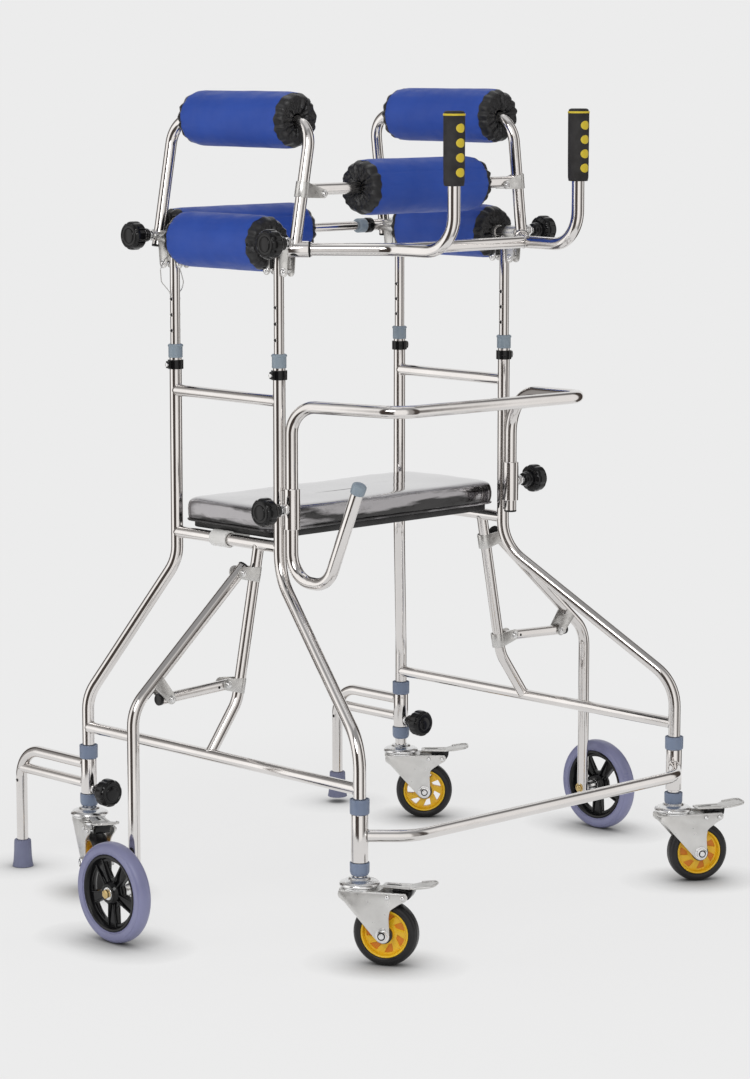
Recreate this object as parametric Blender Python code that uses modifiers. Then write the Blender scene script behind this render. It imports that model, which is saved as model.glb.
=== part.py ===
"""Sit to stand rollator: a four caster steel walking frame with a flip up seat, padded arm rests and a guard rail.

Metres, Z up. The person walks towards -Y, where the two handles are. The ground is at z = 0.
"""

import math

import bmesh
import bpy
from mathutils import Matrix, Vector

# The clearance between pieces that fit round or into one another
GAP = 0.0004

# Frame tubes
UPRIGHT_X = 0.252
UPRIGHT_Y = 0.1247
LEG_X = 0.358
FRONT_LEG_Y = -0.4185
REAR_LEG_Y = 0.229
LEG_TOP_Z = 0.8778
HIP_Z = 0.546
FRONT_KNEE_Z = 0.335
REAR_KNEE_Z = 0.319
LEG_FOOT_Z = 0.129
LEG_BEND = 0.075
LEG_R = 0.010
RAIL_R = 0.0095
CROSSBAR_Z = 0.823
SEAT_TUBE_Z = 0.592
LOWER_RAIL_Z = 0.267
BRACE_Y = -0.075
BRACE_X = 0.300
BRACE_Z = 0.346

# Telescoping uprights
UPRIGHT_WALL = 0.0009
SLIDE_GAP = 0.0009
BORE_R = LEG_R - UPRIGHT_WALL
INNER_R = BORE_R - SLIDE_GAP
BORE_FLOOR_Z = 0.598
INNER_FOOT_Z = 0.702
HOLE_R = 0.0028
FIRST_HOLE_Z = 0.919
HOLE_PITCH = 0.0255
HOLES = 3
BUSH_R = LEG_R + 0.0025
BUSH_Z = (0.8755, 0.8975)
CLIP_R = LEG_R + 0.0036
CLIP_Z = (0.857, 0.872)

# Sleeves and collars round the lower legs
SLEEVE_GAP = 0.0006
SLEEVE_WALL = 0.0024
SLEEVE_BORE_R = LEG_R + SLEEVE_GAP
SLEEVE_R = SLEEVE_BORE_R + SLEEVE_WALL
BOW_SLEEVE_Z = {"left": (0.1560, 0.2295), "right": (0.1560, 0.2235)}
FOOT_SLEEVE_Z = {"left": (0.1560, 0.2145), "right": (0.1660, 0.2250)}
COLLAR_R = LEG_R + 0.0047
UPPER_COLLAR_Z = {
    "left_front": (0.2300, 0.2530),
    "right_front": (0.2240, 0.2450),
    "left_rear": (0.2150, 0.2370),
    "right_rear": (0.2255, 0.2475),
}
LOWER_COLLAR_Z = {
    "left_front": (0.1360, 0.1555),
    "right_front": (0.1300, 0.1510),
    "left_rear": (0.1350, 0.1555),
    "right_rear": (0.1440, 0.1655),
}
BOW_Y = -0.475
BOW_X = 0.300
BOW_Z = 0.196
FOOT_Y = {"left": 0.410, "right": 0.396}
FOOT_LIFT = {"left": 0.0, "right": 0.010}
FOOT_UPPER_Z = {"left": 0.2045, "right": 0.2150}
FOOT_LOWER_Z = {"left": 0.1715, "right": 0.1830}
FOOT_KNOB_Z = {"left": 0.1640, "right": 0.1785}
FOOT_KNOB_STEM = 0.0110
FOOT_BOSS = 0.0035
FOOT_BOSS_R = 0.0068
FOOT_TIP_R = 0.0178
FOOT_TIP_TALL = 0.046

# Outrigger wheels
OUT_TOP = (0.2835, -0.073, 0.5585)
OUT_ELBOW = (0.512, -0.073, 0.3610)
OUT_WHEEL_X = 0.5535
OUT_WHEEL_R = 0.079
OUT_TYRE_DEEP = 0.0181
OUT_AXLE_Z = OUT_WHEEL_R
OUT_WHEEL_WIDE = 0.026
OUT_AXLE_R = 0.0060
LINK_R = 0.0080
LINK_X = (0.3061, 0.4580)
LINK_Z = 0.3700

# Casters
CASTER_WHEEL_R = 0.050
CASTER_TYRE_DEEP = 0.0126
CASTER_RIM_R = CASTER_WHEEL_R - CASTER_TYRE_DEEP - GAP
CASTER_WHEEL_WIDE = 0.028
CASTER_TRAIL = 0.042
CASTER_TURN = {"left_front": 30.0, "right_rear": 46.0, "right_front": 60.0, "left_rear": -24.0}
AXLE_R = 0.0042
AXLE_BORE_R = AXLE_R + 0.0006
PLATE_THICK = 0.0025
FORK_HALF = 0.0225
BRAKE_PIN = (0.0600, 0.1115)
LIP_TILT = 20.0

# Seat
SEAT_X = 0.247
SEAT_Y = 0.107
BOARD_Z = (0.6020, 0.6125)
PAD_Z = (0.6130, 0.6510)
SEAT_CLIP_Y = 0.012

# Guard rail
GUARD_X = {"left": 0.252, "right": 0.2405}
GUARD_Y = -0.153
GUARD_Z = {"left": 0.818, "right": 0.808}
GUARD_CORNER = {"left": (0.200, -0.342, 0.818), "right": (0.200, -0.359, 0.816)}
GUARD_BEND = (0.044, 0.044, 0.044, 0.044, 0.044, 0.075)
GUARD_END_Z = 0.607
GUARD_J = ((-0.198, 0.543), (-0.235, 0.543), (-0.304, 0.700))
GUARD_SLEEVE_Z = (0.624, 0.688)
GUARD_SLEEVE_R = SLEEVE_BORE_R + 0.0026

# Arm rests
ARM_Z = 1.068
STRAP_DROP = 0.034
STRAP_BOLT_DROP = 0.025
HOOP_Y = 0.163
HOOP_FOOT_DROP = 0.013
HOOP_FOOT_Z = ARM_Z - HOOP_FOOT_DROP
HOOP_TOP_X = {"left": 0.217, "right": 0.229}
HOOP_RISE = 0.191
HOOP_TOP_Z = ARM_Z + HOOP_RISE
HOOP_BEND = 0.042
ROLLER_R = 0.0447
SIDE_ROLLER_Y = (-0.103, 0.106)
TOP_ROLLER_Y = (-0.123, 0.112)
CHEST_RISE = 0.085
CHEST_Z = ARM_Z + CHEST_RISE
CHEST_ROLLER_X = (-0.118, 0.142)
BACK_RISE = 0.002
BACK_Z = ARM_Z + BACK_RISE
BACK_ROLLER_X = (-0.228, 0.058)
BACK_SLEEVE_X = 0.192
BACK_BAR_R = 0.0078

# Handles
HANDLE_DROP = 0.006
HANDLE_Z = ARM_Z - HANDLE_DROP
HANDLE_INNER = (0.150, -0.270)
HANDLE_POST = (0.138, -0.395)
GRIP_R = 0.0165
GRIP_RISE = 0.101
GRIP_TALL = 0.113
GRIP_CAP = 0.014
GRIP_Z = (HANDLE_Z + GRIP_RISE, HANDLE_Z + GRIP_RISE + GRIP_TALL)
HANDLE_TOP_Z = GRIP_Z[1] - GRIP_CAP

# Knobs
KNOB_REACH = 0.050
KNOB_STEM = 0.0180
KNOB_R = 0.0230

# The fineness of round shapes
TUBE_FINENESS = 3
ARC_STEP = math.radians(31)
TURN_STEPS = 16
CASTER_STEPS = 16
OUT_WHEEL_STEPS = 20
KNOB_STEPS = 12
WELD = 0.000002

# Moves the middle of the object's box onto the world's Z axis
CENTRE_Y = 0.0501

SIDES = {"left": -1, "right": 1}


def clear_scene():
    for obj in list(bpy.data.objects):
        bpy.data.objects.remove(obj, do_unlink=True)


def material(name, colour, roughness, metallic=0.0):
    made = bpy.data.materials.new(name)
    made.use_nodes = True
    shader = made.node_tree.nodes["Principled BSDF"]
    shader.inputs["Base Color"].default_value = (*colour, 1.0)
    shader.inputs["Roughness"].default_value = roughness
    shader.inputs["Metallic"].default_value = metallic
    made.diffuse_color = (*colour, 1.0)
    return made


def at(side, x, y, z):
    return Vector((side * x, y, z))


def linked(name, data):
    obj = bpy.data.objects.new(name, data)
    ROLLATOR.objects.link(obj)
    return obj


def baked(obj, matrix=None):
    """The object as one plain closed mesh, with its modifiers applied and its loose points welded."""
    bpy.context.view_layer.update()
    graph = bpy.context.evaluated_depsgraph_get()
    mesh = bpy.data.meshes.new_from_object(obj.evaluated_get(graph))
    clean = bmesh.new()
    clean.from_mesh(mesh)
    bmesh.ops.remove_doubles(clean, verts=clean.verts, dist=WELD)
    bmesh.ops.recalc_face_normals(clean, faces=clean.faces)
    clean.to_mesh(mesh)
    clean.free()
    mesh.transform(matrix if matrix else obj.matrix_world)
    bpy.data.objects.remove(obj, do_unlink=True)
    return linked("shape", mesh)


def boolean(base, other, operation):
    modifier = base.modifiers.new(operation, "BOOLEAN")
    modifier.operation = operation
    modifier.solver = "EXACT"
    modifier.object = other
    result = baked(base)
    bpy.data.objects.remove(other, do_unlink=True)
    return result


def fused(base, *others):
    for other in others:
        base = boolean(base, other, "UNION")
    return base


def cut(base, *others):
    for other in others:
        base = boolean(base, other, "DIFFERENCE")
    return base


def rounded(corners, bend):
    """The path through the corners, with each bend an arc of this radius or of its own one in a list."""
    points = [corners[0]]
    bends = bend if isinstance(bend, (list, tuple)) else [bend] * len(corners)
    for before, corner, after, bend in zip(corners, corners[1:], corners[2:], bends):
        into = (corner - before).normalized()
        out = (after - corner).normalized()
        turn = into.angle(out)
        inward = (out - into * out.dot(into)).normalized()
        start = corner - into * bend * math.tan(turn / 2)
        centre = start + inward * bend
        steps = max(2, math.ceil(turn / ARC_STEP))
        for step in range(steps + 1):
            angle = turn * step / steps
            points.append(centre - inward * bend * math.cos(angle) + into * bend * math.sin(angle))
    points.append(corners[-1])
    return points


def tube(corners, radius, bend=0.05, fineness=TUBE_FINENESS):
    """A solid round bar along a bent path."""
    data = bpy.data.curves.new("tube", "CURVE")
    data.dimensions = "3D"
    data.bevel_depth = radius
    data.bevel_resolution = fineness
    data.use_fill_caps = True
    spline = data.splines.new("POLY")
    points = rounded([Vector(corner) for corner in corners], bend)
    spline.points.add(len(points) - 1)
    for slot, point in zip(spline.points, points):
        slot.co = (*point, 1.0)
    return baked(linked("tube", data), Matrix.Identity(4))


def placed(axis, point):
    """The matrix that turns local Z onto this axis and moves the local origin to this point."""
    turn = Vector((0, 0, 1)).rotation_difference(Vector(axis).normalized())
    return Matrix.Translation(Vector(point)) @ turn.to_matrix().to_4x4()


def turned(profile, axis=(0, 0, 1), point=(0, 0, 0), closed=False, steps=TURN_STEPS):
    """A turned shape: pairs of radius and height, running down the outer side."""
    mesh = bpy.data.meshes.new("profile")
    count = len(profile)
    edges = [(i, i + 1) for i in range(count - 1)]
    if closed:
        edges.append((count - 1, 0))
    mesh.from_pydata([(radius, 0, height) for radius, height in profile], edges, [])
    obj = linked("profile", mesh)
    screw = obj.modifiers.new("turn", "SCREW")
    screw.steps = steps
    screw.render_steps = steps
    screw.use_merge_vertices = True
    screw.merge_threshold = 0.00001
    return baked(obj, placed(axis, point))


def rod(radius, start, end, steps=TURN_STEPS):
    """A plain cylinder between two points."""
    start, end = Vector(start), Vector(end)
    long = (end - start).length
    return turned([(0, long), (radius, long), (radius, 0), (0, 0)], end - start, start, steps=steps)


def ring(outer, inner, low, high, point=(0, 0, 0), axis=(0, 0, 1)):
    return turned([(outer, high), (outer, low), (inner, low), (inner, high)], axis, point, closed=True)


def box(low, high):
    shape = bmesh.new()
    bmesh.ops.create_cube(shape, size=1.0)
    low, high = Vector(low), Vector(high)
    size = high - low
    bmesh.ops.scale(shape, vec=size, verts=shape.verts)
    bmesh.ops.translate(shape, vec=(low + high) / 2, verts=shape.verts)
    mesh = bpy.data.meshes.new("box")
    shape.to_mesh(mesh)
    shape.free()
    return linked("box", mesh)


def plate(outline, thick, matrix):
    """A flat sheet of this outline, centred on its own plane."""
    data = bpy.data.curves.new("plate", "CURVE")
    data.dimensions = "2D"
    data.fill_mode = "BOTH"
    data.extrude = thick / 2
    spline = data.splines.new("POLY")
    spline.use_cyclic_u = True
    spline.points.add(len(outline) - 1)
    for slot, (x, y) in zip(spline.points, outline):
        slot.co = (x, y, 0.0, 1.0)
    return baked(linked("plate", data), matrix)


def finish(obj, name, colour, origin=(0, 0, 0)):
    """Names the node, gives it its material and puts its origin on its joint's axis."""
    obj.name = name
    obj.data.name = name
    obj.data.materials.clear()
    obj.data.materials.append(colour)
    obj.data.transform(Matrix.Translation(-Vector(origin)))
    obj.location = Vector(origin) + Vector((0, CENTRE_Y, 0))
    return obj


def upright_fittings(side, y):
    """The bush in the mouth of the outer tube, the snap clip's band and its pin."""
    x = side * UPRIGHT_X
    bush = rod(BUSH_R, (x, y, BUSH_Z[0]), (x, y, BUSH_Z[1]), steps=12)
    band = rod(CLIP_R, (x, y, CLIP_Z[0]), (x, y, CLIP_Z[1]), steps=12)
    middle = sum(CLIP_Z) / 2
    pin = rod(0.0040, (x, y, middle), (x + side * 0.019, y, middle), steps=8)
    return bush, band, pin


def leg(corner, side, upright_y, leg_y, knee_z):
    path = [
        at(side, UPRIGHT_X, upright_y, LEG_TOP_Z),
        at(side, UPRIGHT_X, upright_y, HIP_Z),
        at(side, LEG_X, leg_y, knee_z),
        at(side, LEG_X, leg_y, LEG_FOOT_Z),
    ]
    x = side * LEG_X
    collars = [
        rod(COLLAR_R, (x, leg_y, low), (x, leg_y, high), steps=12)
        for low, high in (UPPER_COLLAR_Z[corner], LOWER_COLLAR_Z[corner])
    ]
    return fused(tube(path, LEG_R, LEG_BEND), *collars, *upright_fittings(side, upright_y))


def bore(side, y):
    x = side * UPRIGHT_X
    return rod(BORE_R, (x, y, BORE_FLOOR_Z), (x, y, BUSH_Z[1] + 0.0225))


def front_leg(word, side):
    """The front leg, with the short sleeve that the guard rail slides in."""
    low, high = GUARD_SLEEVE_Z
    guard_x = GUARD_X[word]
    sleeve = rod(GUARD_SLEEVE_R, at(side, guard_x, GUARD_Y, low), at(side, guard_x, GUARD_Y, high))
    x = side * (UPRIGHT_X + guard_x) / 2
    web = box((x - 0.004, GUARD_Y, low + 0.008), (x + 0.004, -UPRIGHT_Y, high - 0.008))
    hole = rod(SLEEVE_BORE_R, at(side, guard_x, GUARD_Y, low - 0.01), at(side, guard_x, GUARD_Y, high + 0.01))
    shape = fused(leg(f"{word}_front", side, -UPRIGHT_Y, FRONT_LEG_Y, FRONT_KNEE_Z), sleeve, web)
    finish(cut(shape, bore(side, -UPRIGHT_Y), hole), f"{word}_front_leg", STEEL)


def rear_leg(word, side):
    """The rear leg, with the crossbar that joins it to the front leg above the seat."""
    end = at(side, UPRIGHT_X, -UPRIGHT_Y + LEG_R + GAP, CROSSBAR_Z)
    bar = tube([at(side, UPRIGHT_X, UPRIGHT_Y, CROSSBAR_Z), end], RAIL_R)
    shape = fused(leg(f"{word}_rear", side, UPRIGHT_Y, REAR_LEG_Y, REAR_KNEE_Z), bar)
    finish(cut(shape, bore(side, UPRIGHT_Y)), f"{word}_rear_leg", STEEL)


def side_rail(word, side):
    """The seat tube, the bent brace under it and the lower rail, welded to one another."""
    reach = UPRIGHT_Y - LEG_R - GAP
    seat = tube([at(side, UPRIGHT_X, -reach, SEAT_TUBE_Z), at(side, UPRIGHT_X, reach, SEAT_TUBE_Z)], RAIL_R)
    front = FRONT_LEG_Y + LEG_R + GAP
    rear = REAR_LEG_Y - LEG_R - GAP
    lower = tube([at(side, LEG_X, front, LOWER_RAIL_Z), at(side, LEG_X, rear, LOWER_RAIL_Z)], RAIL_R)
    brace = tube(
        [
            at(side, UPRIGHT_X, BRACE_Y, SEAT_TUBE_Z),
            at(side, BRACE_X, BRACE_Y, BRACE_Z),
            at(side, LEG_X, BRACE_Y, LOWER_RAIL_Z),
        ],
        RAIL_R - 0.0003,
        0.06,
    )
    finish(fused(seat, brace, lower), f"{word}_side_rail", STEEL)


def sleeve_bore(side, y):
    return rod(SLEEVE_BORE_R, at(side, LEG_X, y, 0.10), at(side, LEG_X, y, 0.26))


def sleeve(side, y, ends):
    return rod(SLEEVE_R, at(side, LEG_X, y, ends[0]), at(side, LEG_X, y, ends[1]))


def bow_bar():
    """The low front bar, bowed forwards to leave room for the feet, with a sleeve on each front leg."""
    path = [
        at(-1, LEG_X, FRONT_LEG_Y, BOW_Z),
        at(-1, BOW_X, BOW_Y, BOW_Z),
        at(1, BOW_X, BOW_Y, BOW_Z),
        at(1, LEG_X, FRONT_LEG_Y, BOW_Z),
    ]
    shape = fused(tube(path, RAIL_R, 0.06), *(sleeve(side, FRONT_LEG_Y, BOW_SLEEVE_Z[word]) for word, side in SIDES.items()))
    shape = cut(shape, sleeve_bore(-1, FRONT_LEG_Y), sleeve_bore(1, FRONT_LEG_Y))
    finish(shape, "front_bow_bar", STEEL)


def foot_bar(word, side):
    """The folding rear foot: two tubes from a sleeve on the rear leg, down to a rubber tip."""
    foot_y = FOOT_Y[word]
    lift = FOOT_LIFT[word]
    upper_z = FOOT_UPPER_Z[word]
    lower_z = FOOT_LOWER_Z[word]
    knob_z = FOOT_KNOB_Z[word]
    upper = tube(
        [
            at(side, LEG_X, REAR_LEG_Y, upper_z),
            at(side, LEG_X, foot_y, upper_z),
            at(side, LEG_X, foot_y, lift + 0.016),
        ],
        RAIL_R,
        0.050,
    )
    lower = tube([at(side, LEG_X, REAR_LEG_Y, lower_z), at(side, LEG_X, foot_y, lower_z)], 0.0088)
    boss_y = REAR_LEG_Y - SLEEVE_R - FOOT_BOSS
    boss = rod(FOOT_BOSS_R, at(side, LEG_X, REAR_LEG_Y, knob_z), at(side, LEG_X, boss_y, knob_z), steps=12)
    shape = cut(fused(upper, lower, sleeve(side, REAR_LEG_Y, FOOT_SLEEVE_Z[word]), boss), sleeve_bore(side, REAR_LEG_Y))
    finish(shape, f"{word}_foot_bar", STEEL, at(side, LEG_X, REAR_LEG_Y, 0))
    tip = turned(
        [
            (0.0100, FOOT_TIP_TALL),
            (0.0136, FOOT_TIP_TALL),
            (0.0144, FOOT_TIP_TALL - 0.002),
            (0.0156, 0.014),
            (FOOT_TIP_R, 0.0),
            (0.0, 0.0),
            (0.0, 0.0150),
            (0.0100, 0.0150),
        ],
        point=at(side, LEG_X, foot_y, lift),
        closed=True,
    )
    finish(tip, f"{word}_foot_tip", GREY_RUBBER, at(side, LEG_X, REAR_LEG_Y, 0))


def outrigger(word, side):
    """The side leg that carries an outer wheel, its axle, and the link that holds it off the brace."""
    path = [at(side, *OUT_TOP), at(side, *OUT_ELBOW), at(side, OUT_ELBOW[0], OUT_ELBOW[1], OUT_AXLE_Z - 0.014)]
    post = tube(path, RAIL_R, 0.06)
    x, y, _ = OUT_ELBOW
    far = OUT_WHEEL_X + OUT_WHEEL_WIDE / 2
    near = OUT_WHEEL_X - OUT_WHEEL_WIDE / 2 - GAP
    axle = rod(OUT_AXLE_R, at(side, x, y, OUT_AXLE_Z), at(side, far + 0.003, y, OUT_AXLE_Z))
    bolt = rod(0.0095, at(side, far + GAP, y, OUT_AXLE_Z), at(side, far + 0.0055, y, OUT_AXLE_Z), steps=6)
    shoulder = rod(0.0105, at(side, x + 0.003, y, OUT_AXLE_Z), at(side, near, y, OUT_AXLE_Z))
    link = tube([at(side, LINK_X[0], y, LINK_Z), at(side, LINK_X[1], y, LINK_Z)], LINK_R)
    hanger = rod(0.0085, at(side, LINK_X[1] - 0.007, y, LINK_Z - 0.003), at(side, 0.4700, y, 0.3935))
    finish(fused(post, axle, bolt, shoulder, link, hanger), f"{word}_outrigger_leg", STEEL)


def fan(inner, outer, half_angle, middle, steps=2):
    """The outline of one window between two spokes."""
    points = []
    for step in range(steps + 1):
        angle = middle + half_angle * (2 * step / steps - 1)
        points.append((outer * math.cos(angle), outer * math.sin(angle)))
    for angle in (middle + half_angle * 0.8, middle - half_angle * 0.8):
        points.append((inner * math.cos(angle), inner * math.sin(angle)))
    return points


def spoked_rim(profile, windows, inner, outer, half_angle, steps):
    """A wheel centre: a turned disc with a ring of windows through its web. Its axle lies on local Z."""
    shape = turned(profile, closed=True, steps=steps)
    for number in range(windows):
        middle = 2 * math.pi * (number + 0.5) / windows
        shape = cut(shape, plate(fan(inner, outer, half_angle, middle), 0.05, Matrix.Identity(4)))
    return shape


def mirrored_profile(half):
    """The closed profile whose lower half mirrors these points."""
    return half + [(radius, -height) for radius, height in reversed(half)]


def outrigger_wheel(word, side):
    hub = at(side, OUT_WHEEL_X, OUT_ELBOW[1], OUT_AXLE_Z)
    half = OUT_WHEEL_WIDE / 2
    tyre_bore_r = OUT_WHEEL_R - OUT_TYRE_DEEP
    rim_r = tyre_bore_r - GAP
    hub_half = [(OUT_AXLE_R + 0.0006, half), (0.0170, half), (0.0190, 0.0055)]
    rim_half = [(rim_r - 0.0075, 0.0055), (rim_r - 0.0055, 0.0115), (rim_r, 0.0115)]
    rim = spoked_rim(
        mirrored_profile(hub_half + rim_half),
        5,
        0.024,
        rim_r - 0.0115,
        math.radians(25),
        OUT_WHEEL_STEPS,
    )
    rim.data.transform(placed((1, 0, 0), hub))
    finish(rim, f"{word}_outrigger_rim", BLACK, hub)
    tyre = turned(
        mirrored_profile(
            [
                (tyre_bore_r, half - 0.002),
                (OUT_WHEEL_R - 0.009, half),
                (OUT_WHEEL_R - 0.003, 0.0105),
                (OUT_WHEEL_R, 0.0050),
            ]
        ),
        (1, 0, 0),
        hub,
        closed=True,
        steps=OUT_WHEEL_STEPS,
    )
    finish(tyre, f"{word}_outrigger_tyre", LAVENDER, hub)


def caster_fork():
    """Swivel races and the yoke. Local +X is the trailing side and local Z the swivel axis."""
    races = turned(
        [(0, 0.1286), (0.0270, 0.1286), (0.0300, 0.1220), (0.0270, 0.1195), (0.0270, 0.1125), (0, 0.1125)],
        steps=16,
    )
    inside = FORK_HALF - 0.0008
    crown = box((-0.0222, -inside, 0.1055), (0.0340, inside, 0.1148))
    outline = [
        (-0.0275, 0.1160),
        (0.0800, 0.1160),
        (0.0810, 0.1070),
        (0.0670, 0.0990),
        (0.0530, 0.0890),
        (0.0515, 0.0760),
        (0.0520, 0.0460),
        (0.0480, 0.0405),
        (0.0420, 0.0385),
        (0.0360, 0.0400),
        (0.0290, 0.0460),
        (-0.0120, 0.1050),
        (-0.0275, 0.1120),
    ]
    upright = Matrix(((1, 0, 0, 0), (0, 0, -1, 0), (0, 1, 0, 0), (0, 0, 0, 1)))
    offset = FORK_HALF - PLATE_THICK / 2
    cheeks = [plate(outline, PLATE_THICK, Matrix.Translation((0, y, 0)) @ upright) for y in (-offset, offset)]
    centre = CASTER_WHEEL_R
    axle = rod(AXLE_R, (CASTER_TRAIL, -FORK_HALF - 0.002, centre), (CASTER_TRAIL, FORK_HALF + 0.002, centre), steps=12)
    nuts = [
        rod(0.0075, (CASTER_TRAIL, y - 0.0022, centre), (CASTER_TRAIL, y + 0.0022, centre), steps=6)
        for y in (-FORK_HALF - 0.0015, FORK_HALF + 0.0015)
    ]
    shape = fused(crown, *cheeks, races, axle, *nuts)
    shape.data.name = "caster_fork"
    return shape


def caster_brake():
    """The foot pedal, with its pivot barrel at the local origin. Local +X points away from the swivel."""
    reach = FORK_HALF - PLATE_THICK - 0.0010
    barrel = rod(0.0042, (0, -reach, 0), (0, reach, 0), steps=12)
    web = box((-0.0035, -0.0130, 0), (0.0035, 0.0130, 0.0110))
    deck = [(-0.0230, -0.0120), (0.0240, -0.0150), (0.0240, 0.0150), (-0.0230, 0.0120)]
    lip = [
        (0.0190, -0.0140),
        (0.0340, -0.0220),
        (0.0540, -0.0205),
        (0.0616, -0.0120),
        (0.0616, 0.0120),
        (0.0540, 0.0205),
        (0.0340, 0.0220),
        (0.0190, 0.0140),
    ]
    flat = Matrix.Translation((0, 0, 0.0115))
    raised = Matrix.Translation((0.0200, 0, 0.0115)) @ Matrix.Rotation(math.radians(-LIP_TILT), 4, "Y")
    raised = raised @ Matrix.Translation((-0.0200, 0, 0))
    return fused(barrel, web, plate(deck, 0.0028, flat), plate(lip, 0.0030, raised))


def caster_rim():
    return spoked_rim(
        mirrored_profile(
            [
                (AXLE_BORE_R, 0.0145),
                (0.0112, 0.0145),
                (0.0122, 0.0050),
                (CASTER_RIM_R - 0.0045, 0.0050),
                (CASTER_RIM_R, 0.0110),
            ]
        ),
        6,
        0.0165,
        CASTER_RIM_R - 0.0070,
        math.radians(20),
        CASTER_STEPS,
    )


def caster_tyre():
    half = CASTER_WHEEL_WIDE / 2
    return turned(
        mirrored_profile(
            [
                (CASTER_RIM_R + GAP, half - 0.0015),
                (CASTER_WHEEL_R - 0.0070, half),
                (CASTER_WHEEL_R - 0.0020, 0.0110),
                (CASTER_WHEEL_R, 0.0045),
            ]
        ),
        closed=True,
        steps=CASTER_STEPS,
    )


def casters():
    """Four swivel casters that share the same meshes, each turned as it stood."""
    pieces = {
        "fork": (caster_fork(), STEEL_PLATE, Vector((0, 0, 0)), Matrix.Identity(4)),
        "brake": (caster_brake(), STEEL_PLATE, Vector((BRAKE_PIN[0], 0, BRAKE_PIN[1])), Matrix.Identity(4)),
        "rim": (caster_rim(), YELLOW, Vector((CASTER_TRAIL, 0, CASTER_WHEEL_R)), placed((0, 1, 0), (0, 0, 0))),
        "tyre": (caster_tyre(), BLACK_RUBBER, Vector((CASTER_TRAIL, 0, CASTER_WHEEL_R)), placed((0, 1, 0), (0, 0, 0))),
    }
    for kind, (shape, colour, _, matrix) in pieces.items():
        shape.data.transform(matrix)
        shape.data.materials.clear()
        shape.data.materials.append(colour)
        shape.data.name = f"caster_{kind}"
    for corner, degrees in CASTER_TURN.items():
        word, end = corner.split("_")
        leg_y = FRONT_LEG_Y if end == "front" else REAR_LEG_Y
        angle = math.radians(degrees - 90.0)
        stance = Matrix.Translation(at(SIDES[word], LEG_X, leg_y + CENTRE_Y, 0)) @ Matrix.Rotation(angle, 4, "Z")
        for kind, (shape, _, offset, _) in pieces.items():
            copy = linked(f"{corner}_caster_{kind}", shape.data)
            copy.matrix_world = stance @ Matrix.Translation(offset)
    for shape, _, _, _ in pieces.values():
        bpy.data.objects.remove(shape, do_unlink=True)


def slab_outline(half_x, half_y, corner, points=4):
    outline = []
    for quarter in range(4):
        sign_x = (1, -1, -1, 1)[quarter]
        sign_y = (1, 1, -1, -1)[quarter]
        for step in range(points):
            angle = math.radians(90) * (quarter + step / (points - 1))
            x = sign_x * (half_x - corner) + corner * math.cos(angle)
            y = sign_y * (half_y - corner) + corner * math.sin(angle)
            outline.append((x, y))
    return outline


def lofted(layers):
    """A closed solid through outlines stacked from the bottom up, each with the same number of points."""
    shape = bmesh.new()
    loops = [[shape.verts.new(point) for point in layer] for layer in layers]
    for one, two in zip(loops, loops[1:]):
        for i in range(len(one)):
            j = (i + 1) % len(one)
            shape.faces.new((one[i], one[j], two[j], two[i]))
    shape.faces.new(loops[0])
    shape.faces.new(loops[-1])
    bmesh.ops.recalc_face_normals(shape, faces=shape.faces)
    mesh = bpy.data.meshes.new("loft")
    shape.to_mesh(mesh)
    shape.free()
    return linked("loft", mesh)


def seat():
    """A crowned vinyl pad on a board. The board's clip turns on the left seat tube."""
    hinge = at(-1, UPRIGHT_X, 0, SEAT_TUBE_Z)
    low, high = PAD_Z
    layers = []
    for inset, height in ((0.006, 0.0), (0.001, 0.15), (0.0, 0.45), (0.0015, 0.70), (0.008, 0.88), (0.030, 0.97), (0.065, 1.0)):
        outline = slab_outline(SEAT_X - inset, SEAT_Y - inset, max(0.012, 0.020 - inset))
        layers.append([(x, y, low + (high - low) * height) for x, y in outline])
    finish(lofted(layers), "seat_pad", VINYL, hinge)
    outline = slab_outline(SEAT_X - 0.004, SEAT_Y - 0.005, 0.015)
    board = lofted([[(x, y, z) for x, y in outline] for z in BOARD_Z])
    x, z = -UPRIGHT_X, SEAT_TUBE_Z
    clip = rod(0.0138, (x, SEAT_CLIP_Y - 0.015, z), (x, SEAT_CLIP_Y + 0.015, z))
    tongue = box((x, SEAT_CLIP_Y - 0.014, z - 0.0125), (x + 0.045, SEAT_CLIP_Y + 0.014, BOARD_Z[0] + 0.002))
    tunnel = rod(0.0101, (x, SEAT_CLIP_Y - 0.03, z), (x, SEAT_CLIP_Y + 0.03, z))
    finish(cut(fused(board, clip, tongue), tunnel), "seat_board", BLACK, hinge)


def guard_rail():
    """One bent tube: a hook end in front of the left leg, a raised loop in front, and a straight end on the right."""
    left, right = GUARD_X["left"], GUARD_X["right"]
    hook = [at(-1, left, y, z) for y, z in reversed(GUARD_J)]
    path = hook + [
        at(-1, left, GUARD_Y, 0.5435),
        at(-1, left, GUARD_Y, GUARD_Z["left"]),
        at(-1, *GUARD_CORNER["left"]),
        at(1, *GUARD_CORNER["right"]),
        at(1, right, GUARD_Y, GUARD_Z["right"]),
        at(1, right, GUARD_Y, GUARD_END_Z),
    ]
    del path[2]
    end = hook[0]
    run = (hook[0] - hook[1]).normalized()
    cap = rod(0.0118, end - run * 0.006, end + run * 0.010)
    finish(fused(tube(path, LEG_R, GUARD_BEND), cap), "guard_rail", STEEL)


def hoop_point(side, y, z):
    """A point of the leaning hoop at this height."""
    share = (z - BACK_Z) / (HOOP_TOP_Z - BACK_Z)
    top_x = HOOP_TOP_X["left" if side < 0 else "right"]
    return at(side, UPRIGHT_X + (top_x - UPRIGHT_X) * share, y, z)


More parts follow.
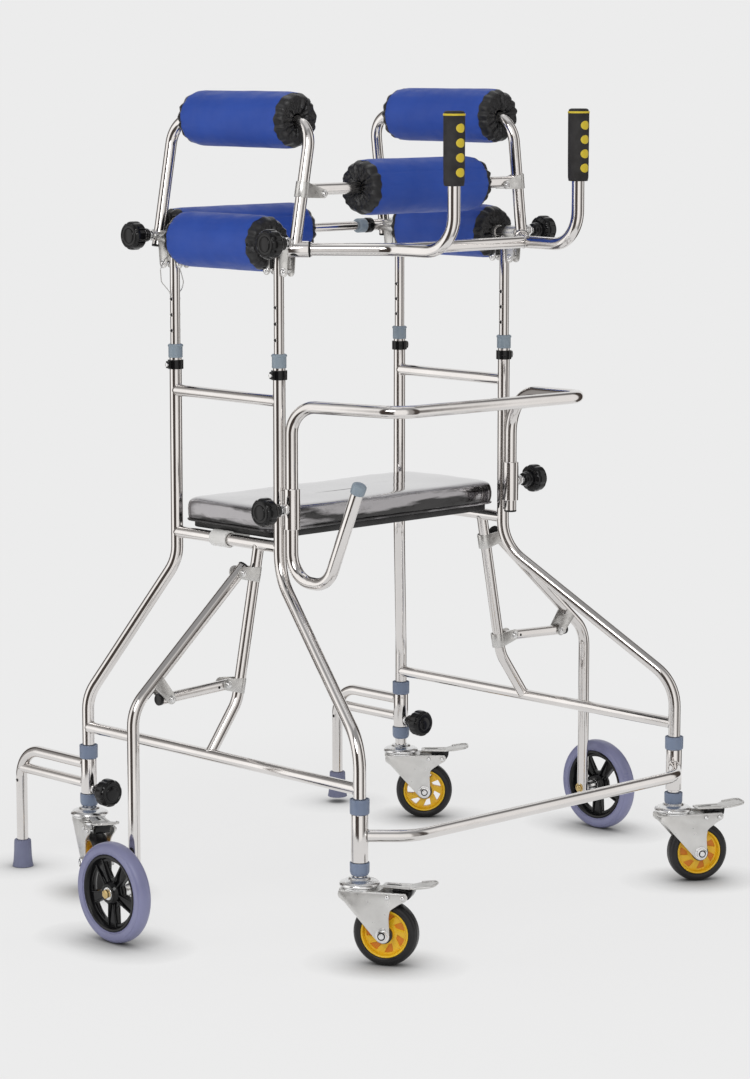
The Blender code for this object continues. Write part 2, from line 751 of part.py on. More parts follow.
def hoop(word, side):
    path = [
        hoop_point(side, -HOOP_Y, HOOP_FOOT_Z),
        hoop_point(side, -HOOP_Y, HOOP_TOP_Z),
        hoop_point(side, HOOP_Y, HOOP_TOP_Z),
        hoop_point(side, HOOP_Y, HOOP_FOOT_Z),
    ]
    finish(tube(path, RAIL_R, HOOP_BEND), f"{word}_underarm_hoop", STEEL)


def rack(word, side):
    """The two sliding uprights of one side, their arm rail and the straps that bolt them to the hoop."""
    reach = HOOP_Y - RAIL_R - GAP
    arm = tube([at(side, UPRIGHT_X, -reach, ARM_Z), at(side, UPRIGHT_X, reach, ARM_Z)], RAIL_R)
    shape = arm
    holes = []
    for sign in (-1, 1):
        y = sign * UPRIGHT_Y
        x = side * UPRIGHT_X
        post = rod(INNER_R, (x, y, INNER_FOOT_Z), (x, y, ARM_Z + 0.002))
        strap = box((x - 0.0100, y - 0.0115, ARM_Z - STRAP_DROP), (x + 0.0100, y + 0.0115, ARM_Z))
        bolt_z = ARM_Z - STRAP_BOLT_DROP
        bolt = rod(0.0042, (x - 0.0145, y, bolt_z), (x + 0.0145, y, bolt_z), steps=6)
        shape = fused(shape, post, strap, bolt)
        for number in range(HOLES):
            z = FIRST_HOLE_Z + HOLE_PITCH * number
            holes.append(rod(HOLE_R, (x - 0.02, y, z), (x + 0.02, y, z), steps=6))
    finish(cut(shape, *holes), f"{word}_upper_rack", STEEL)


def padded_roller(name, start, end, bar_r=RAIL_R):
    """A padded sleeve on a tube: crowned edges and ends drawn in round the tube."""
    start, end = Vector(start), Vector(end)
    long = (end - start).length
    bore_r = bar_r + GAP
    half = [
        (bore_r, long - 0.010),
        (0.0170, long - 0.0040),
        (0.0320, long),
        (0.0405, long - 0.0030),
        (ROLLER_R, long - 0.0120),
    ]
    profile = half + [(radius, long - height) for radius, height in reversed(half)]
    finish(turned(profile, end - start, start, closed=True), name, BLUE, (start + end) / 2)


def chest_bar():
    """The bar across the two front hoop legs, held by a strap round each leg."""
    clamps = []
    for side in (-1, 1):
        middle = hoop_point(side, -HOOP_Y, CHEST_Z)
        lean = hoop_point(side, -HOOP_Y, CHEST_Z + 0.01) - middle
        clamps.append((middle, lean))
    reach = clamps[1][0].x
    shape = tube([at(-1, reach, -HOOP_Y, CHEST_Z), at(1, reach, -HOOP_Y, CHEST_Z)], RAIL_R)
    for middle, lean in clamps:
        lean.normalize()
        shape = fused(shape, rod(0.0125, middle - lean * 0.012, middle + lean * 0.012))
        inward = -1 if middle.x > 0 else 1
        ears = box(
            (min(middle.x, middle.x + inward * 0.036), middle.y - 0.0108, middle.z - 0.0100),
            (max(middle.x, middle.x + inward * 0.036), middle.y + 0.0108, middle.z + 0.0100),
        )
        shape = fused(shape, ears)
    for middle, lean in clamps:
        shape = cut(shape, rod(0.0101, middle - lean * 0.03, middle + lean * 0.03))
    finish(shape, "chest_bar", STEEL)


def back_bar():
    """The telescoping bar behind the person: a thin tube sliding in a thicker one with a collar."""
    reach = UPRIGHT_X - RAIL_R - 0.0015
    thin = rod(BACK_BAR_R, (-reach, HOOP_Y, BACK_Z), (BACK_SLEEVE_X + 0.01, HOOP_Y, BACK_Z))
    thick = rod(0.0097, (BACK_SLEEVE_X, HOOP_Y, BACK_Z), (reach, HOOP_Y, BACK_Z))
    collar = rod(0.0122, (BACK_SLEEVE_X - 0.004, HOOP_Y, BACK_Z), (BACK_SLEEVE_X + 0.012, HOOP_Y, BACK_Z))
    clip = rod(0.0132, (BACK_SLEEVE_X + 0.016, HOOP_Y, BACK_Z), (BACK_SLEEVE_X + 0.027, HOOP_Y, BACK_Z))
    finish(fused(thin, thick, collar, clip), "back_bar", STEEL)


def handle_frame():
    """The front arms, the bar between them and the two upright handles."""
    shapes = []
    for side in (-1, 1):
        start = Vector((UPRIGHT_X, -HOOP_Y))
        run = (Vector(HANDLE_INNER) - start).normalized()
        start = start + run * (RAIL_R + 2 * GAP)
        path = [
            at(side, start.x, start.y, HANDLE_Z),
            at(side, *HANDLE_INNER, HANDLE_Z),
            at(side, *HANDLE_POST, HANDLE_Z),
            at(side, *HANDLE_POST, HANDLE_TOP_Z),
        ]
        shapes.append(tube(path, LEG_R, 0.055))
    bar = tube([at(-1, *HANDLE_INNER, HANDLE_Z), at(1, *HANDLE_INNER, HANDLE_Z)], RAIL_R)
    finish(fused(bar, *shapes), "handle_frame", STEEL)


def grip(word, side):
    low, high = GRIP_Z
    bore_r = LEG_R + GAP
    profile = [
        (0.0, high),
        (0.0125, high),
        (GRIP_R, high - 0.004),
        (GRIP_R, low + 0.002),
        (GRIP_R - 0.001, low),
        (bore_r, low),
        (bore_r, HANDLE_TOP_Z + GAP),
        (0.0, HANDLE_TOP_Z + GAP),
    ]
    shape = turned(profile, point=at(side, *HANDLE_POST, 0), closed=True)
    finish(shape, f"{word}_grip", BLACK_RUBBER)


def knob(name, point, axis, stem=KNOB_STEM):
    """A lobed clamping knob on a threaded stem. The point lies on the stem's inner end."""
    rings = (
        (0.0000, 0.0050, 0),
        (stem, 0.0050, 0),
        (stem + 0.0005, 0.0105, 0),
        (stem + 0.0150, 0.0125, 0),
        (stem + 0.0170, KNOB_R - 0.0015, 1),
        (stem + KNOB_REACH - 0.0165, KNOB_R, 1),
        (stem + KNOB_REACH - 0.0130, KNOB_R - 0.0060, 1),
    )
    layers = []
    for height, radius, lobed in rings:
        loop = []
        for step in range(KNOB_STEPS):
            angle = 2 * math.pi * step / KNOB_STEPS
            reach = radius * (1 - 0.07 * lobed * (step % 2))
            loop.append((reach * math.cos(angle), reach * math.sin(angle), height))
        layers.append(loop)
    shape = lofted(layers)
    shape.data.transform(placed(axis, point))
    finish(shape, name, BLACK, point)


def knobs():
    for word, side in SIDES.items():
        for end, y in (("front", -HOOP_Y), ("rear", HOOP_Y)):
            point = at(side, UPRIGHT_X + RAIL_R + GAP, y, BACK_Z + 0.002)
            knob(f"{word}_{end}_arm_knob", point, (side, 0, 0))
        height = sum(GUARD_SLEEVE_Z) / 2
        knob(f"{word}_guard_knob", at(side, GUARD_X[word] + GUARD_SLEEVE_R + GAP, GUARD_Y, height), (side, 0, 0))
        foot = at(side, LEG_X, REAR_LEG_Y - SLEEVE_R - FOOT_BOSS - GAP, FOOT_KNOB_Z[word])
        knob(f"{word}_foot_knob", foot, (0, -1, 0), FOOT_KNOB_STEM - FOOT_BOSS)


clear_scene()
ROLLATOR = bpy.data.collections.new("sit_to_stand_rollator")
bpy.context.scene.collection.children.link(ROLLATOR)

STEEL = material("polished_steel", (0.72, 0.72, 0.73), 0.18, 1.0)
STEEL_PLATE = material("galvanised_plate", (0.62, 0.63, 0.64), 0.38, 1.0)
BLUE = material("blue_roller_cloth", (0.035, 0.105, 0.45), 0.55)
VINYL = material("black_vinyl", (0.018, 0.018, 0.020), 0.22)
BLACK = material("black_plastic", (0.015, 0.015, 0.016), 0.35)
BLACK_RUBBER = material("black_rubber", (0.020, 0.020, 0.021), 0.65)
YELLOW = material("yellow_rim_plastic", (0.85, 0.50, 0.018), 0.40)
LAVENDER = material("lavender_tyre", (0.215, 0.220, 0.430), 0.60)
GREY_RUBBER = material("grey_tip_rubber", (0.200, 0.215, 0.330), 0.65)

for word, side in SIDES.items():
    front_leg(word, side)
    rear_leg(word, side)
    side_rail(word, side)
    foot_bar(word, side)
    outrigger(word, side)
    outrigger_wheel(word, side)
    hoop(word, side)
    rack(word, side)
    grip(word, side)
    padded_roller(
        f"{word}_underarm_roller",
        at(side, HOOP_TOP_X[word], TOP_ROLLER_Y[0], HOOP_TOP_Z),
        at(side, HOOP_TOP_X[word], TOP_ROLLER_Y[1], HOOP_TOP_Z),
    )
    padded_roller(
        f"{word}_side_roller",
        at(side, UPRIGHT_X, SIDE_ROLLER_Y[0], ARM_Z),
        at(side, UPRIGHT_X, SIDE_ROLLER_Y[1], ARM_Z),
    )
bow_bar()
casters()
seat()
guard_rail()
chest_bar()
padded_roller("chest_roller", (CHEST_ROLLER_X[0], -HOOP_Y, CHEST_Z), (CHEST_ROLLER_X[1], -HOOP_Y, CHEST_Z))
back_bar()
padded_roller("back_roller", (BACK_ROLLER_X[0], HOOP_Y, BACK_Z), (BACK_ROLLER_X[1], HOOP_Y, BACK_Z), BACK_BAR_R)
handle_frame()
knobs()
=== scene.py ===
"""Looks of the sit to stand rollator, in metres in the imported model's frame. Z is up; the front is -Y."""

import math
import random

import bmesh
import bpy
from mathutils import Matrix, Vector, noise


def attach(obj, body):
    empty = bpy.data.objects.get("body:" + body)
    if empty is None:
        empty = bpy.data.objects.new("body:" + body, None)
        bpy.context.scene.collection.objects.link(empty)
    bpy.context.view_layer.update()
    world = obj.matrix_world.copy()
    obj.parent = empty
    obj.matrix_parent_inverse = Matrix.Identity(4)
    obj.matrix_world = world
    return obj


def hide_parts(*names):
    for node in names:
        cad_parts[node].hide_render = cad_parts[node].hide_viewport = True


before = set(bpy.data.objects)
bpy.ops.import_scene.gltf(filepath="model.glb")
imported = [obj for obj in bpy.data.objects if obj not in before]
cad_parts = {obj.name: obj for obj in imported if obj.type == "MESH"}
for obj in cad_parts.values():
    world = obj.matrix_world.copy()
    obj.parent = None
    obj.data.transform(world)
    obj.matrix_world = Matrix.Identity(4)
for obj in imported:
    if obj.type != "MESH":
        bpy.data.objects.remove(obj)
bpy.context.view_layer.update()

# Moves the design's Y onto the frame's Y
CENTRE_Y = 0.0501
SIDES = {"left": -1, "right": 1}

# Frame tubes
UPRIGHT_X = 0.252
UPRIGHT_Y = 0.1247
LEG_X = 0.358
FRONT_LEG_Y = -0.4185
REAR_LEG_Y = 0.229
LEG_TOP_Z = 0.8778
HIP_Z = 0.546
FRONT_KNEE_Z = 0.335
REAR_KNEE_Z = 0.319
LEG_FOOT_Z = 0.127
LEG_BEND = 0.075
LEG_R = 0.01
RAIL_R = 0.0095
CROSSBAR_Z = 0.823
SEAT_TUBE_Z = 0.592
LOWER_RAIL_Z = 0.267
TUBE_INSET = 0.004
BRACE_Y = -0.075
BRACE_X = 0.3
BRACE_Z = 0.346

# Telescoping uprights
INNER_R = 0.0082
INNER_FOOT_Z = 0.702
FIRST_HOLE_Z = 0.919
HOLE_PITCH = 0.0255
HOLES = 3
HOLE_R = 0.0028
BUSH_R = 0.0125
BUSH_Z = (0.8755, 0.8975)
CLIP_R = 0.0136
CLIP_Z = (0.857, 0.872)

# Sleeves and collars round the lower legs
SLEEVE_R = 0.013
BOW_SLEEVE_Z = {"left": (0.156, 0.2295), "right": (0.156, 0.2235)}
FOOT_SLEEVE_Z = {"left": (0.156, 0.2145), "right": (0.166, 0.225)}
COLLAR_R = 0.0149
UPPER_COLLAR_Z = {
    "left_front": (0.23, 0.253),
    "right_front": (0.224, 0.245),
    "left_rear": (0.215, 0.237),
    "right_rear": (0.2255, 0.2475),
}
LOWER_COLLAR_Z = {
    "left_front": (0.135, 0.1555),
    "right_front": (0.13, 0.151),
    "left_rear": (0.1345, 0.1555),
    "right_rear": (0.144, 0.1655),
}
BOW_Y = -0.475
BOW_X = 0.3
BOW_Z = 0.196
FOOT_Y = {"left": 0.41, "right": 0.396}
FOOT_LIFT = {"left": 0.0, "right": 0.01}
FOOT_UPPER_Z = {"left": 0.2045, "right": 0.215}
FOOT_LOWER_Z = {"left": 0.1715, "right": 0.183}
FOOT_KNOB_Z = {"left": 0.164, "right": 0.1785}
FOOT_KNOB_STEM = 0.011
FOOT_LOWER_R = 0.0088
FOOT_BOSS = 0.0035
FOOT_TIP_R = 0.0178
FOOT_TIP_TALL = 0.046

# Outrigger wheels
OUT_TOP = (0.2835, -0.073, 0.5585)
OUT_ELBOW = (0.512, -0.073, 0.361)
OUT_AXLE_Z = 0.079
OUT_WHEEL_X = 0.5535
OUT_WHEEL_R = 0.079
OUT_WHEEL_WIDE = 0.026
LINK_R = 0.0086
LINK_X = (0.3061, 0.458)
LINK_Z = 0.37

# Casters
CASTER_WHEEL_R = 0.05
CASTER_TRAIL = 0.042
CASTER_TURN = {"left_front": 30.0, "right_rear": 46.0, "right_front": 60.0, "left_rear": -24.0}
FORK_HALF = 0.0225
PLATE_THICK = 0.0026
BRAKE_PIN = (0.06, 0.1115)
LIP_TILT = 9.0

# Seat
SEAT_X = 0.247
SEAT_Y = 0.107
COVER_EASE = 0.009
BOARD_Z = (0.602, 0.6125)
PAD_Z = (0.613, 0.651)
SEAT_CLIP_Y = 0.012

# Guard rail
GUARD_X = {"left": 0.252, "right": 0.2405}
GUARD_Y = -0.153
GUARD_Z = {"left": 0.818, "right": 0.808}
GUARD_CORNER = {"left": (0.2, -0.342, 0.818), "right": (0.2, -0.359, 0.816)}
GUARD_BEND = (0.044, 0.044, 0.044, 0.044, 0.044, 0.075)
GUARD_END_Z = 0.607
GUARD_HOOK = ((-0.304, 0.7), (-0.235, 0.543))
GUARD_HEEL_Z = 0.5435
GUARD_SLEEVE_Z = (0.624, 0.688)
GUARD_SLEEVE_R = 0.0132

# Arm rests
ARM_Z = 1.068
HOOP_Y = 0.163
HOOP_FOOT_Z = 1.055
HOOP_TOP_X = {"left": 0.217, "right": 0.229}
HOOP_TOP_Z = 1.259
HOOP_BEND = 0.042
ROLLER_R = 0.0447
ROLLER_LAP = 0.0115
SIDE_ROLLER_Y = (-0.103, 0.106)
TOP_ROLLER_Y = (-0.123, 0.112)
TOP_ROLLER_SHIFT = {"left": (0.01, -0.002), "right": (0.014, -0.008)}
SIDE_ROLLER_SHIFT = 0.003
ROLLER_PLEATS = 15
CHEST_Z = 1.153
CHEST_ROLLER_X = (-0.118, 0.142)
BACK_Z = 1.07
BACK_ROLLER_X = (-0.228, 0.058)
BACK_SLEEVE_X = 0.192
BACK_BAR_R = 0.0078
BACK_SLEEVE_R = 0.0097
ARM_NUT_Z = BACK_Z + 0.002

# Handles
HANDLE_Z = 1.062
HANDLE_INNER = (0.15, -0.27)
HANDLE_POST = (0.138, -0.395)
GRIP_R = 0.0165
GRIP_Z = (1.163, 1.276)
GRIP_FACING = math.atan2(-0.993, -0.117)
DOT_Z = 1.2502
DOT_PITCH = 0.0222

# Knobs
KNOB_REACH = 0.05
KNOB_STEM = 0.018
KNOB_R = 0.023
KNOB_LOBES = 8
THREAD_PITCH = 0.0014

# Straps and welds
STRAP_THICK = 0.0018
STRAP_WIDE = 0.024
WELD_R = 0.0011

# Fineness
ARC_STEP = math.radians(6)
TUBE_SIDES = 28
TURN_STEPS = 40
EASE = 0.0006
SEAT_RUNS = 24
ROLLER_STEPS = 144
ROLLER_RINGS = 60
ROLLER_END_RINGS = 24

# Picture
CAMERA_PLACE = (-3.7088, -3.9032, 1.3706)
CAMERA_LOOK = (0.6839, 0.7146, -0.1469)
CAMERA_RIGHT = (0.7225, -0.6914, 0.0)
CAMERA_LENS = 110.55
BACKDROP = 0.8388
FLOOR_SHADE = 0.2
FLOOR_GLOW = 0.704
FLOOR_R = 1.3
FLOOR_PLAIN_R = 0.72

# Directions, and the turn that stands a flat outline up in the plane of X and Z
X, Y, Z = Vector((1, 0, 0)), Vector((0, 1, 0)), Vector((0, 0, 1))
STAND = Matrix(((1, 0, 0, 0), (0, 0, -1, 0), (0, 1, 0, 0), (0, 0, 0, 1)))


# Materials


def node(tree, kind, **inputs):
    made = tree.nodes.new(kind)
    for name, value in inputs.items():
        made.inputs[name.replace("_", " ")].default_value = value
    return made


def principled(name, colour, roughness, metallic=0.0, **sockets):
    made = bpy.data.materials.new(name)
    made.use_nodes = True
    shader = made.node_tree.nodes["Principled BSDF"]
    values = {"Base Color": (*colour, 1.0), "Roughness": roughness, "Metallic": metallic, **sockets}
    for key, value in values.items():
        shader.inputs[key.replace("_", " ")].default_value = value
    return made, made.node_tree, shader


def feed(tree, shader, **values):
    """Links each value to the socket of its name."""
    for name, value in values.items():
        tree.links.new(value, shader.inputs[name.replace("_", " ")])


def parted(tree, source):
    """The single coordinates of a texture coordinate."""
    where = tree.nodes.new("ShaderNodeTexCoord")
    split = tree.nodes.new("ShaderNodeSeparateXYZ")
    tree.links.new(where.outputs[source], split.inputs[0])
    return split.outputs


def spotty(tree, scale, detail=4.0, stretch=(1.0, 1.0, 1.0)):
    """The grey value of a noise over the piece."""
    where = tree.nodes.new("ShaderNodeTexCoord")
    mapping = node(tree, "ShaderNodeMapping", Scale=stretch)
    texture = node(tree, "ShaderNodeTexNoise", Scale=scale, Detail=detail)
    feed(tree, mapping, Vector=where.outputs["Object"])
    feed(tree, texture, Vector=mapping.outputs["Vector"])
    return texture.outputs["Fac"]


def spread(tree, value, low, high, start=0.3, end=0.7):
    """The value between start and end mapped to low and high."""
    made = node(tree, "ShaderNodeMapRange", From_Min=start, From_Max=end, To_Min=low, To_Max=high)
    feed(tree, made, Value=value)
    return made.outputs["Result"]


def blended(tree, value, one, two, start=0.3, end=0.7):
    """A colour between two, by the value."""
    made = tree.nodes.new("ShaderNodeMix")
    made.data_type = "RGBA"
    made.inputs["A"].default_value = (*one, 1.0)
    made.inputs["B"].default_value = (*two, 1.0)
    feed(tree, made, Factor=spread(tree, value, 0.0, 1.0, start, end))
    return made.outputs["Result"]


def bumped(tree, shader, *layers):
    """Height layers, each a value, a strength and a distance, one over the other."""
    normal = None
    for value, strength, distance in layers:
        bump = node(tree, "ShaderNodeBump", Strength=strength, Distance=distance)
        feed(tree, bump, Height=value)
        if normal:
            feed(tree, bump, Normal=normal)
        normal = bump.outputs["Normal"]
    feed(tree, shader, Normal=normal)


def arithmetic(tree, operation, one, two=0.0):
    made = tree.nodes.new("ShaderNodeMath")
    made.operation = operation
    for slot, value in enumerate((one, two)):
        if isinstance(value, (int, float)):
            made.inputs[slot].default_value = value
        else:
            tree.links.new(value, made.inputs[slot])
    return made.outputs[0]


def woven(tree, pitch):
    """The height of a plain weave over the piece's unrolled surface, with threads this far apart."""
    place = parted(tree, "UV")
    waves = []
    for name in ("X", "Y"):
        turns = arithmetic(tree, "MULTIPLY", place[name], 2 * math.pi / pitch)
        waves.append(arithmetic(tree, "SINE", turns))
    return spread(tree, arithmetic(tree, "MULTIPLY", *waves), 0.0, 1.0, -1.0, 1.0)


def grained(name, colour, roughness, metallic, haze, tones, bumps, **sockets):
    """A material with noises in its roughness, colour and height, each led by its scale and detail."""
    made, tree, shader = principled(name, colour, roughness, metallic, **sockets)
    scale, detail, low, high = haze
    feed(tree, shader, Roughness=spread(tree, spotty(tree, scale, detail), low, high))
    if tones:
        scale, detail, light, dark = tones
        feed(tree, shader, Base_Color=blended(tree, spotty(tree, scale, detail), light, dark))
    layers = [(spotty(tree, *grain), strength, distance) for *grain, strength, distance in bumps]
    bumped(tree, shader, *layers)
    return made


def steel_material():
    tones = (7.0, 4.0, (0.8, 0.777, 0.762), (0.7, 0.678, 0.662))
    bumps = ((60.0, 2.0, 0.06, 0.001), (900.0, 2.0, 0.05, 0.0002))
    return grained("polished_steel", (0.78, 0.757, 0.742), 0.1, 1.0, (26.0, 6.0, 0.06, 0.14), tones, bumps)


def plate_material():
    tones = (35.0, 5.0, (0.74, 0.735, 0.72), (0.62, 0.615, 0.6))
    bumps = ((260.0, 3.0, 0.12, 0.0004),)
    return grained("galvanised_plate", (0.7, 0.695, 0.68), 0.36, 0.7, (90.0, 6.0, 0.26, 0.44), tones, bumps)


def bright_material():
    bumps = ((700.0, 2.0, 0.1, 0.0003),)
    return grained("bright_zinc", (0.8, 0.8, 0.8), 0.2, 1.0, (120.0, 5.0, 0.14, 0.32), None, bumps)


def strap_material():
    tones = (45.0, 4.0, (0.7, 0.695, 0.68), (0.56, 0.555, 0.54))
    bumps = ((500.0, 2.0, 0.1, 0.0003),)
    return grained("zinc_strap", (0.66, 0.655, 0.64), 0.3, 0.85, (110.0, 5.0, 0.22, 0.42), tones, bumps)


def cloth_material(name, light, dark, pitch, roughness, sheen):
    made, tree, shader = principled(name, light, roughness, Sheen_Weight=sheen, Sheen_Roughness=0.45)
    rough = spread(tree, spotty(tree, 40.0, 4.0), roughness - 0.08, roughness + 0.1)
    tone = blended(tree, spotty(tree, 14.0, 5.0), light, dark, 0.25, 0.75)
    feed(tree, shader, Base_Color=tone, Roughness=rough)
    bumped(tree, shader, (woven(tree, pitch), 0.35, 0.0002), (spotty(tree, 30.0, 3.0), 0.25, 0.002))
    return made


def vinyl_material():
    """Polished black vinyl with a painted reflection: an even lighter, metallic colour on top and bright
    streaks of it round the sides.
    """
    # light is the colour of the painted reflection; dark is the vinyl's own black
    dark, light = (0.012, 0.011, 0.012), (0.2, 0.188, 0.205)
    made, tree, shader = principled(
        "black_vinyl", dark, 0.08, Coat_Weight=1.0, Coat_Roughness=0.02, Coat_IOR=2.6
    )
    rise = parted(tree, "Generated")["Z"]
    rim = (0.84, 0.92)
    # Painted reflection: the top and noise streaks round the sides get the lighter colour, more metal and the
    # full coat
    painted_streaks = spread(tree, spotty(tree, 7.0, 6.0, (1.0, 1.0, 8.0)), 0.0, 1.0, 0.45, 0.55)
    painted_sheen = arithmetic(tree, "MAXIMUM", spread(tree, rise, 0.0, 1.0, *rim), painted_streaks)
    metal = spread(tree, painted_sheen, 0.0, 0.7, 0.0, 1.0)
    rough = spread(tree, spotty(tree, 55.0, 5.0), 0.05, 0.12)
    tone = blended(tree, painted_sheen, dark, light, 0.0, 1.0)
    feed(tree, shader, Coat_Weight=painted_sheen, Metallic=metal, Base_Color=tone, Roughness=rough)
    calm = spread(tree, rise, 1.0, 0.25, *rim)
    folds = arithmetic(tree, "MULTIPLY", spotty(tree, 7.0, 4.0, (1.0, 1.0, 6.0)), calm)
    creases = arithmetic(tree, "MULTIPLY", spotty(tree, 26.0, 3.0, (1.0, 1.0, 2.0)), calm)
    grain = spotty(tree, 700.0, 4.0)
    bumped(tree, shader, (folds, 0.6, 0.006), (creases, 0.34, 0.003), (grain, 0.05, 0.0001))
    return made


def plain_material(name, light, dark, roughness, grain=320.0, depth=0.15, **sockets):
    """A moulded plastic or rubber with mottling and a fine grain."""
    haze = (60.0, 4.0, roughness * 0.8, roughness * 1.25)
    tones = (22.0, 5.0, light, dark)
    bumps = ((grain, 3.0, depth, 0.0004),)
    return grained(name, light, roughness, 0.0, haze, tones, bumps, **sockets)


STEEL = steel_material()
PLATE = plate_material()
BRIGHT = bright_material()
STRAP = strap_material()
BLUE = cloth_material("blue_roller_cloth", (0.016, 0.08, 0.455), (0.011, 0.062, 0.38), 0.0011, 0.52, 0.03)
BLACK_CLOTH = cloth_material(
    "black_end_cloth", (0.008, 0.008, 0.009), (0.014, 0.014, 0.016), 0.0009, 0.32, 0.0
)
VINYL = vinyl_material()
BLACK = plain_material(
    "black_plastic", (0.0045, 0.0045, 0.005), (0.008, 0.008, 0.009), 0.12, 260.0, 0.04,
    Specular_IOR_Level=0.32,
)
DULL_BLACK = plain_material(
    "dull_black_plastic", (0.016, 0.016, 0.017), (0.026, 0.026, 0.028), 0.5, 380.0, 0.25
)
FOAM = plain_material("black_foam", (0.017, 0.016, 0.016), (0.026, 0.024, 0.024), 0.7, 900.0, 0.5)
YELLOW = plain_material("yellow_plastic", (0.92, 0.585, 0.022), (0.86, 0.5, 0.016), 0.3, 240.0, 0.08)
YELLOW_DOT = plain_material("yellow_grip_dot", (0.78, 0.62, 0.045), (0.7, 0.52, 0.03), 0.45, 420.0, 0.2)
# A darker orange painted as the shade in the caster rims' recesses
YELLOW_PAINTED_SHADE = plain_material("painted_shade_orange_rim", (0.78, 0.27, 0.014), (0.66, 0.2, 0.01), 0.45, 240.0, 0.1)
LAVENDER = plain_material("lavender_tyre", (0.255, 0.262, 0.43), (0.215, 0.222, 0.37), 0.34, 300.0, 0.1)
TYRE = plain_material(
    "black_tyre", (0.008, 0.0075, 0.008), (0.016, 0.015, 0.016), 0.38, 300.0, 0.15, Specular_IOR_Level=0.4
)
TIP = plain_material("grey_tip_rubber", (0.2, 0.215, 0.33), (0.16, 0.17, 0.27), 0.55, 300.0, 0.3)
BUSH = plain_material("grey_bush_plastic", (0.3, 0.37, 0.43), (0.25, 0.31, 0.37), 0.38, 260.0, 0.12)
COLLAR = plain_material("lavender_collar", (0.215, 0.27, 0.385), (0.17, 0.215, 0.315), 0.36, 260.0, 0.12)
WHITE = plain_material("white_clip_plastic", (0.86, 0.86, 0.85), (0.8, 0.8, 0.78), 0.35, 260.0, 0.12)
BRASS = plain_material("brass_bolt", (0.62, 0.47, 0.22), (0.5, 0.36, 0.15), 0.28, 400.0, 0.12, Metallic=1.0)
# Painted shadow: a near-black laid into holes, gaps and slots where there is only shade
SHADOW = plain_material("painted_shadow", (0.006, 0.006, 0.006), (0.01, 0.01, 0.01), 0.8, 300.0, 0.1)


# Shapes


def at(side, x, y, z):
    return Vector((side * x, y + CENTRE_Y, z))


def polar(radius, angle):
    return radius * math.cos(angle), radius * math.sin(angle)


def circle(radius, steps):
    return [polar(radius, 2 * math.pi * k / steps) for k in range(steps)]


def mirrored(profile):
    """The profile and its mirror image below, as one loop."""
    return profile + [(radius, -height) for radius, height in reversed(profile)]


def placed(axis, point=(0, 0, 0)):
    """The matrix that turns local Z onto this axis and moves the local origin to this point."""
    turn = Z.rotation_difference(Vector(axis).normalized())
    return Matrix.Translation(Vector(point)) @ turn.to_matrix().to_4x4()


def seated(axis, up, point=(0, 0, 0)):
    """The matrix whose local Z is this axis and whose local X lies as near as it can to up."""
    z = Vector(axis).normalized()
    x = Vector(up)
    x = (x - z * x.dot(z)).normalized()
    turn = Matrix((x, z.cross(x), z)).transposed()
    return Matrix.Translation(Vector(point)) @ turn.to_4x4()


def arced(corners, bend):
    """The points of a path whose corners are arcs. bend is one radius, or one for each inner corner."""
    corners = [Vector(corner) for corner in corners]
    bends = bend if isinstance(bend, tuple) else [bend] * (len(corners) - 2)
    points = [corners[0]]
    for before, corner, after, radius in zip(corners, corners[1:], corners[2:], bends):
        into = (corner - before).normalized()
        out = (after - corner).normalized()
        turn = into.angle(out)
        if turn < 0.01:
            continue
        inward = (out - into * out.dot(into)).normalized()
        start = corner - into * radius * math.tan(turn / 2)
        centre = start + inward * radius
        steps = max(2, math.ceil(turn / ARC_STEP))
        for i in range(steps + 1):
            angle = turn * i / steps
            points.append(centre - inward * radius * math.cos(angle) + into * radius * math.sin(angle))
    points.append(corners[-1])
    return points


def eased(profile, radius, closed=False):
    """A profile of radius and height pairs with its inner corners rounded."""
    corners = [Vector((r, h, 0.0)) for r, h in profile]
    if closed:
        corners = corners + corners[:2]
    points = [corners[0]]
    for before, corner, after in zip(corners, corners[1:], corners[2:]):
        into = corner - before
        out = after - corner
        near = min(radius, into.length * 0.45, out.length * 0.45)
        if into.angle(out, 0.0) < 0.2:
            points.append(corner)
            continue
        one = corner - into.normalized() * near
        two = corner + out.normalized() * near
        for i in range(4):
            share = i / 3
            points.append(one * (1 - share) ** 2 + corner * 2 * share * (1 - share) + two * share**2)
    points.append(corners[-1])
    if closed:
        points = points[1:-1]
    return [(point.x, point.y) for point in points]


def put(name, data):
    """A new object in the scene."""
    obj = bpy.data.objects.new(name, data)
    bpy.context.scene.collection.objects.link(obj)
    return obj


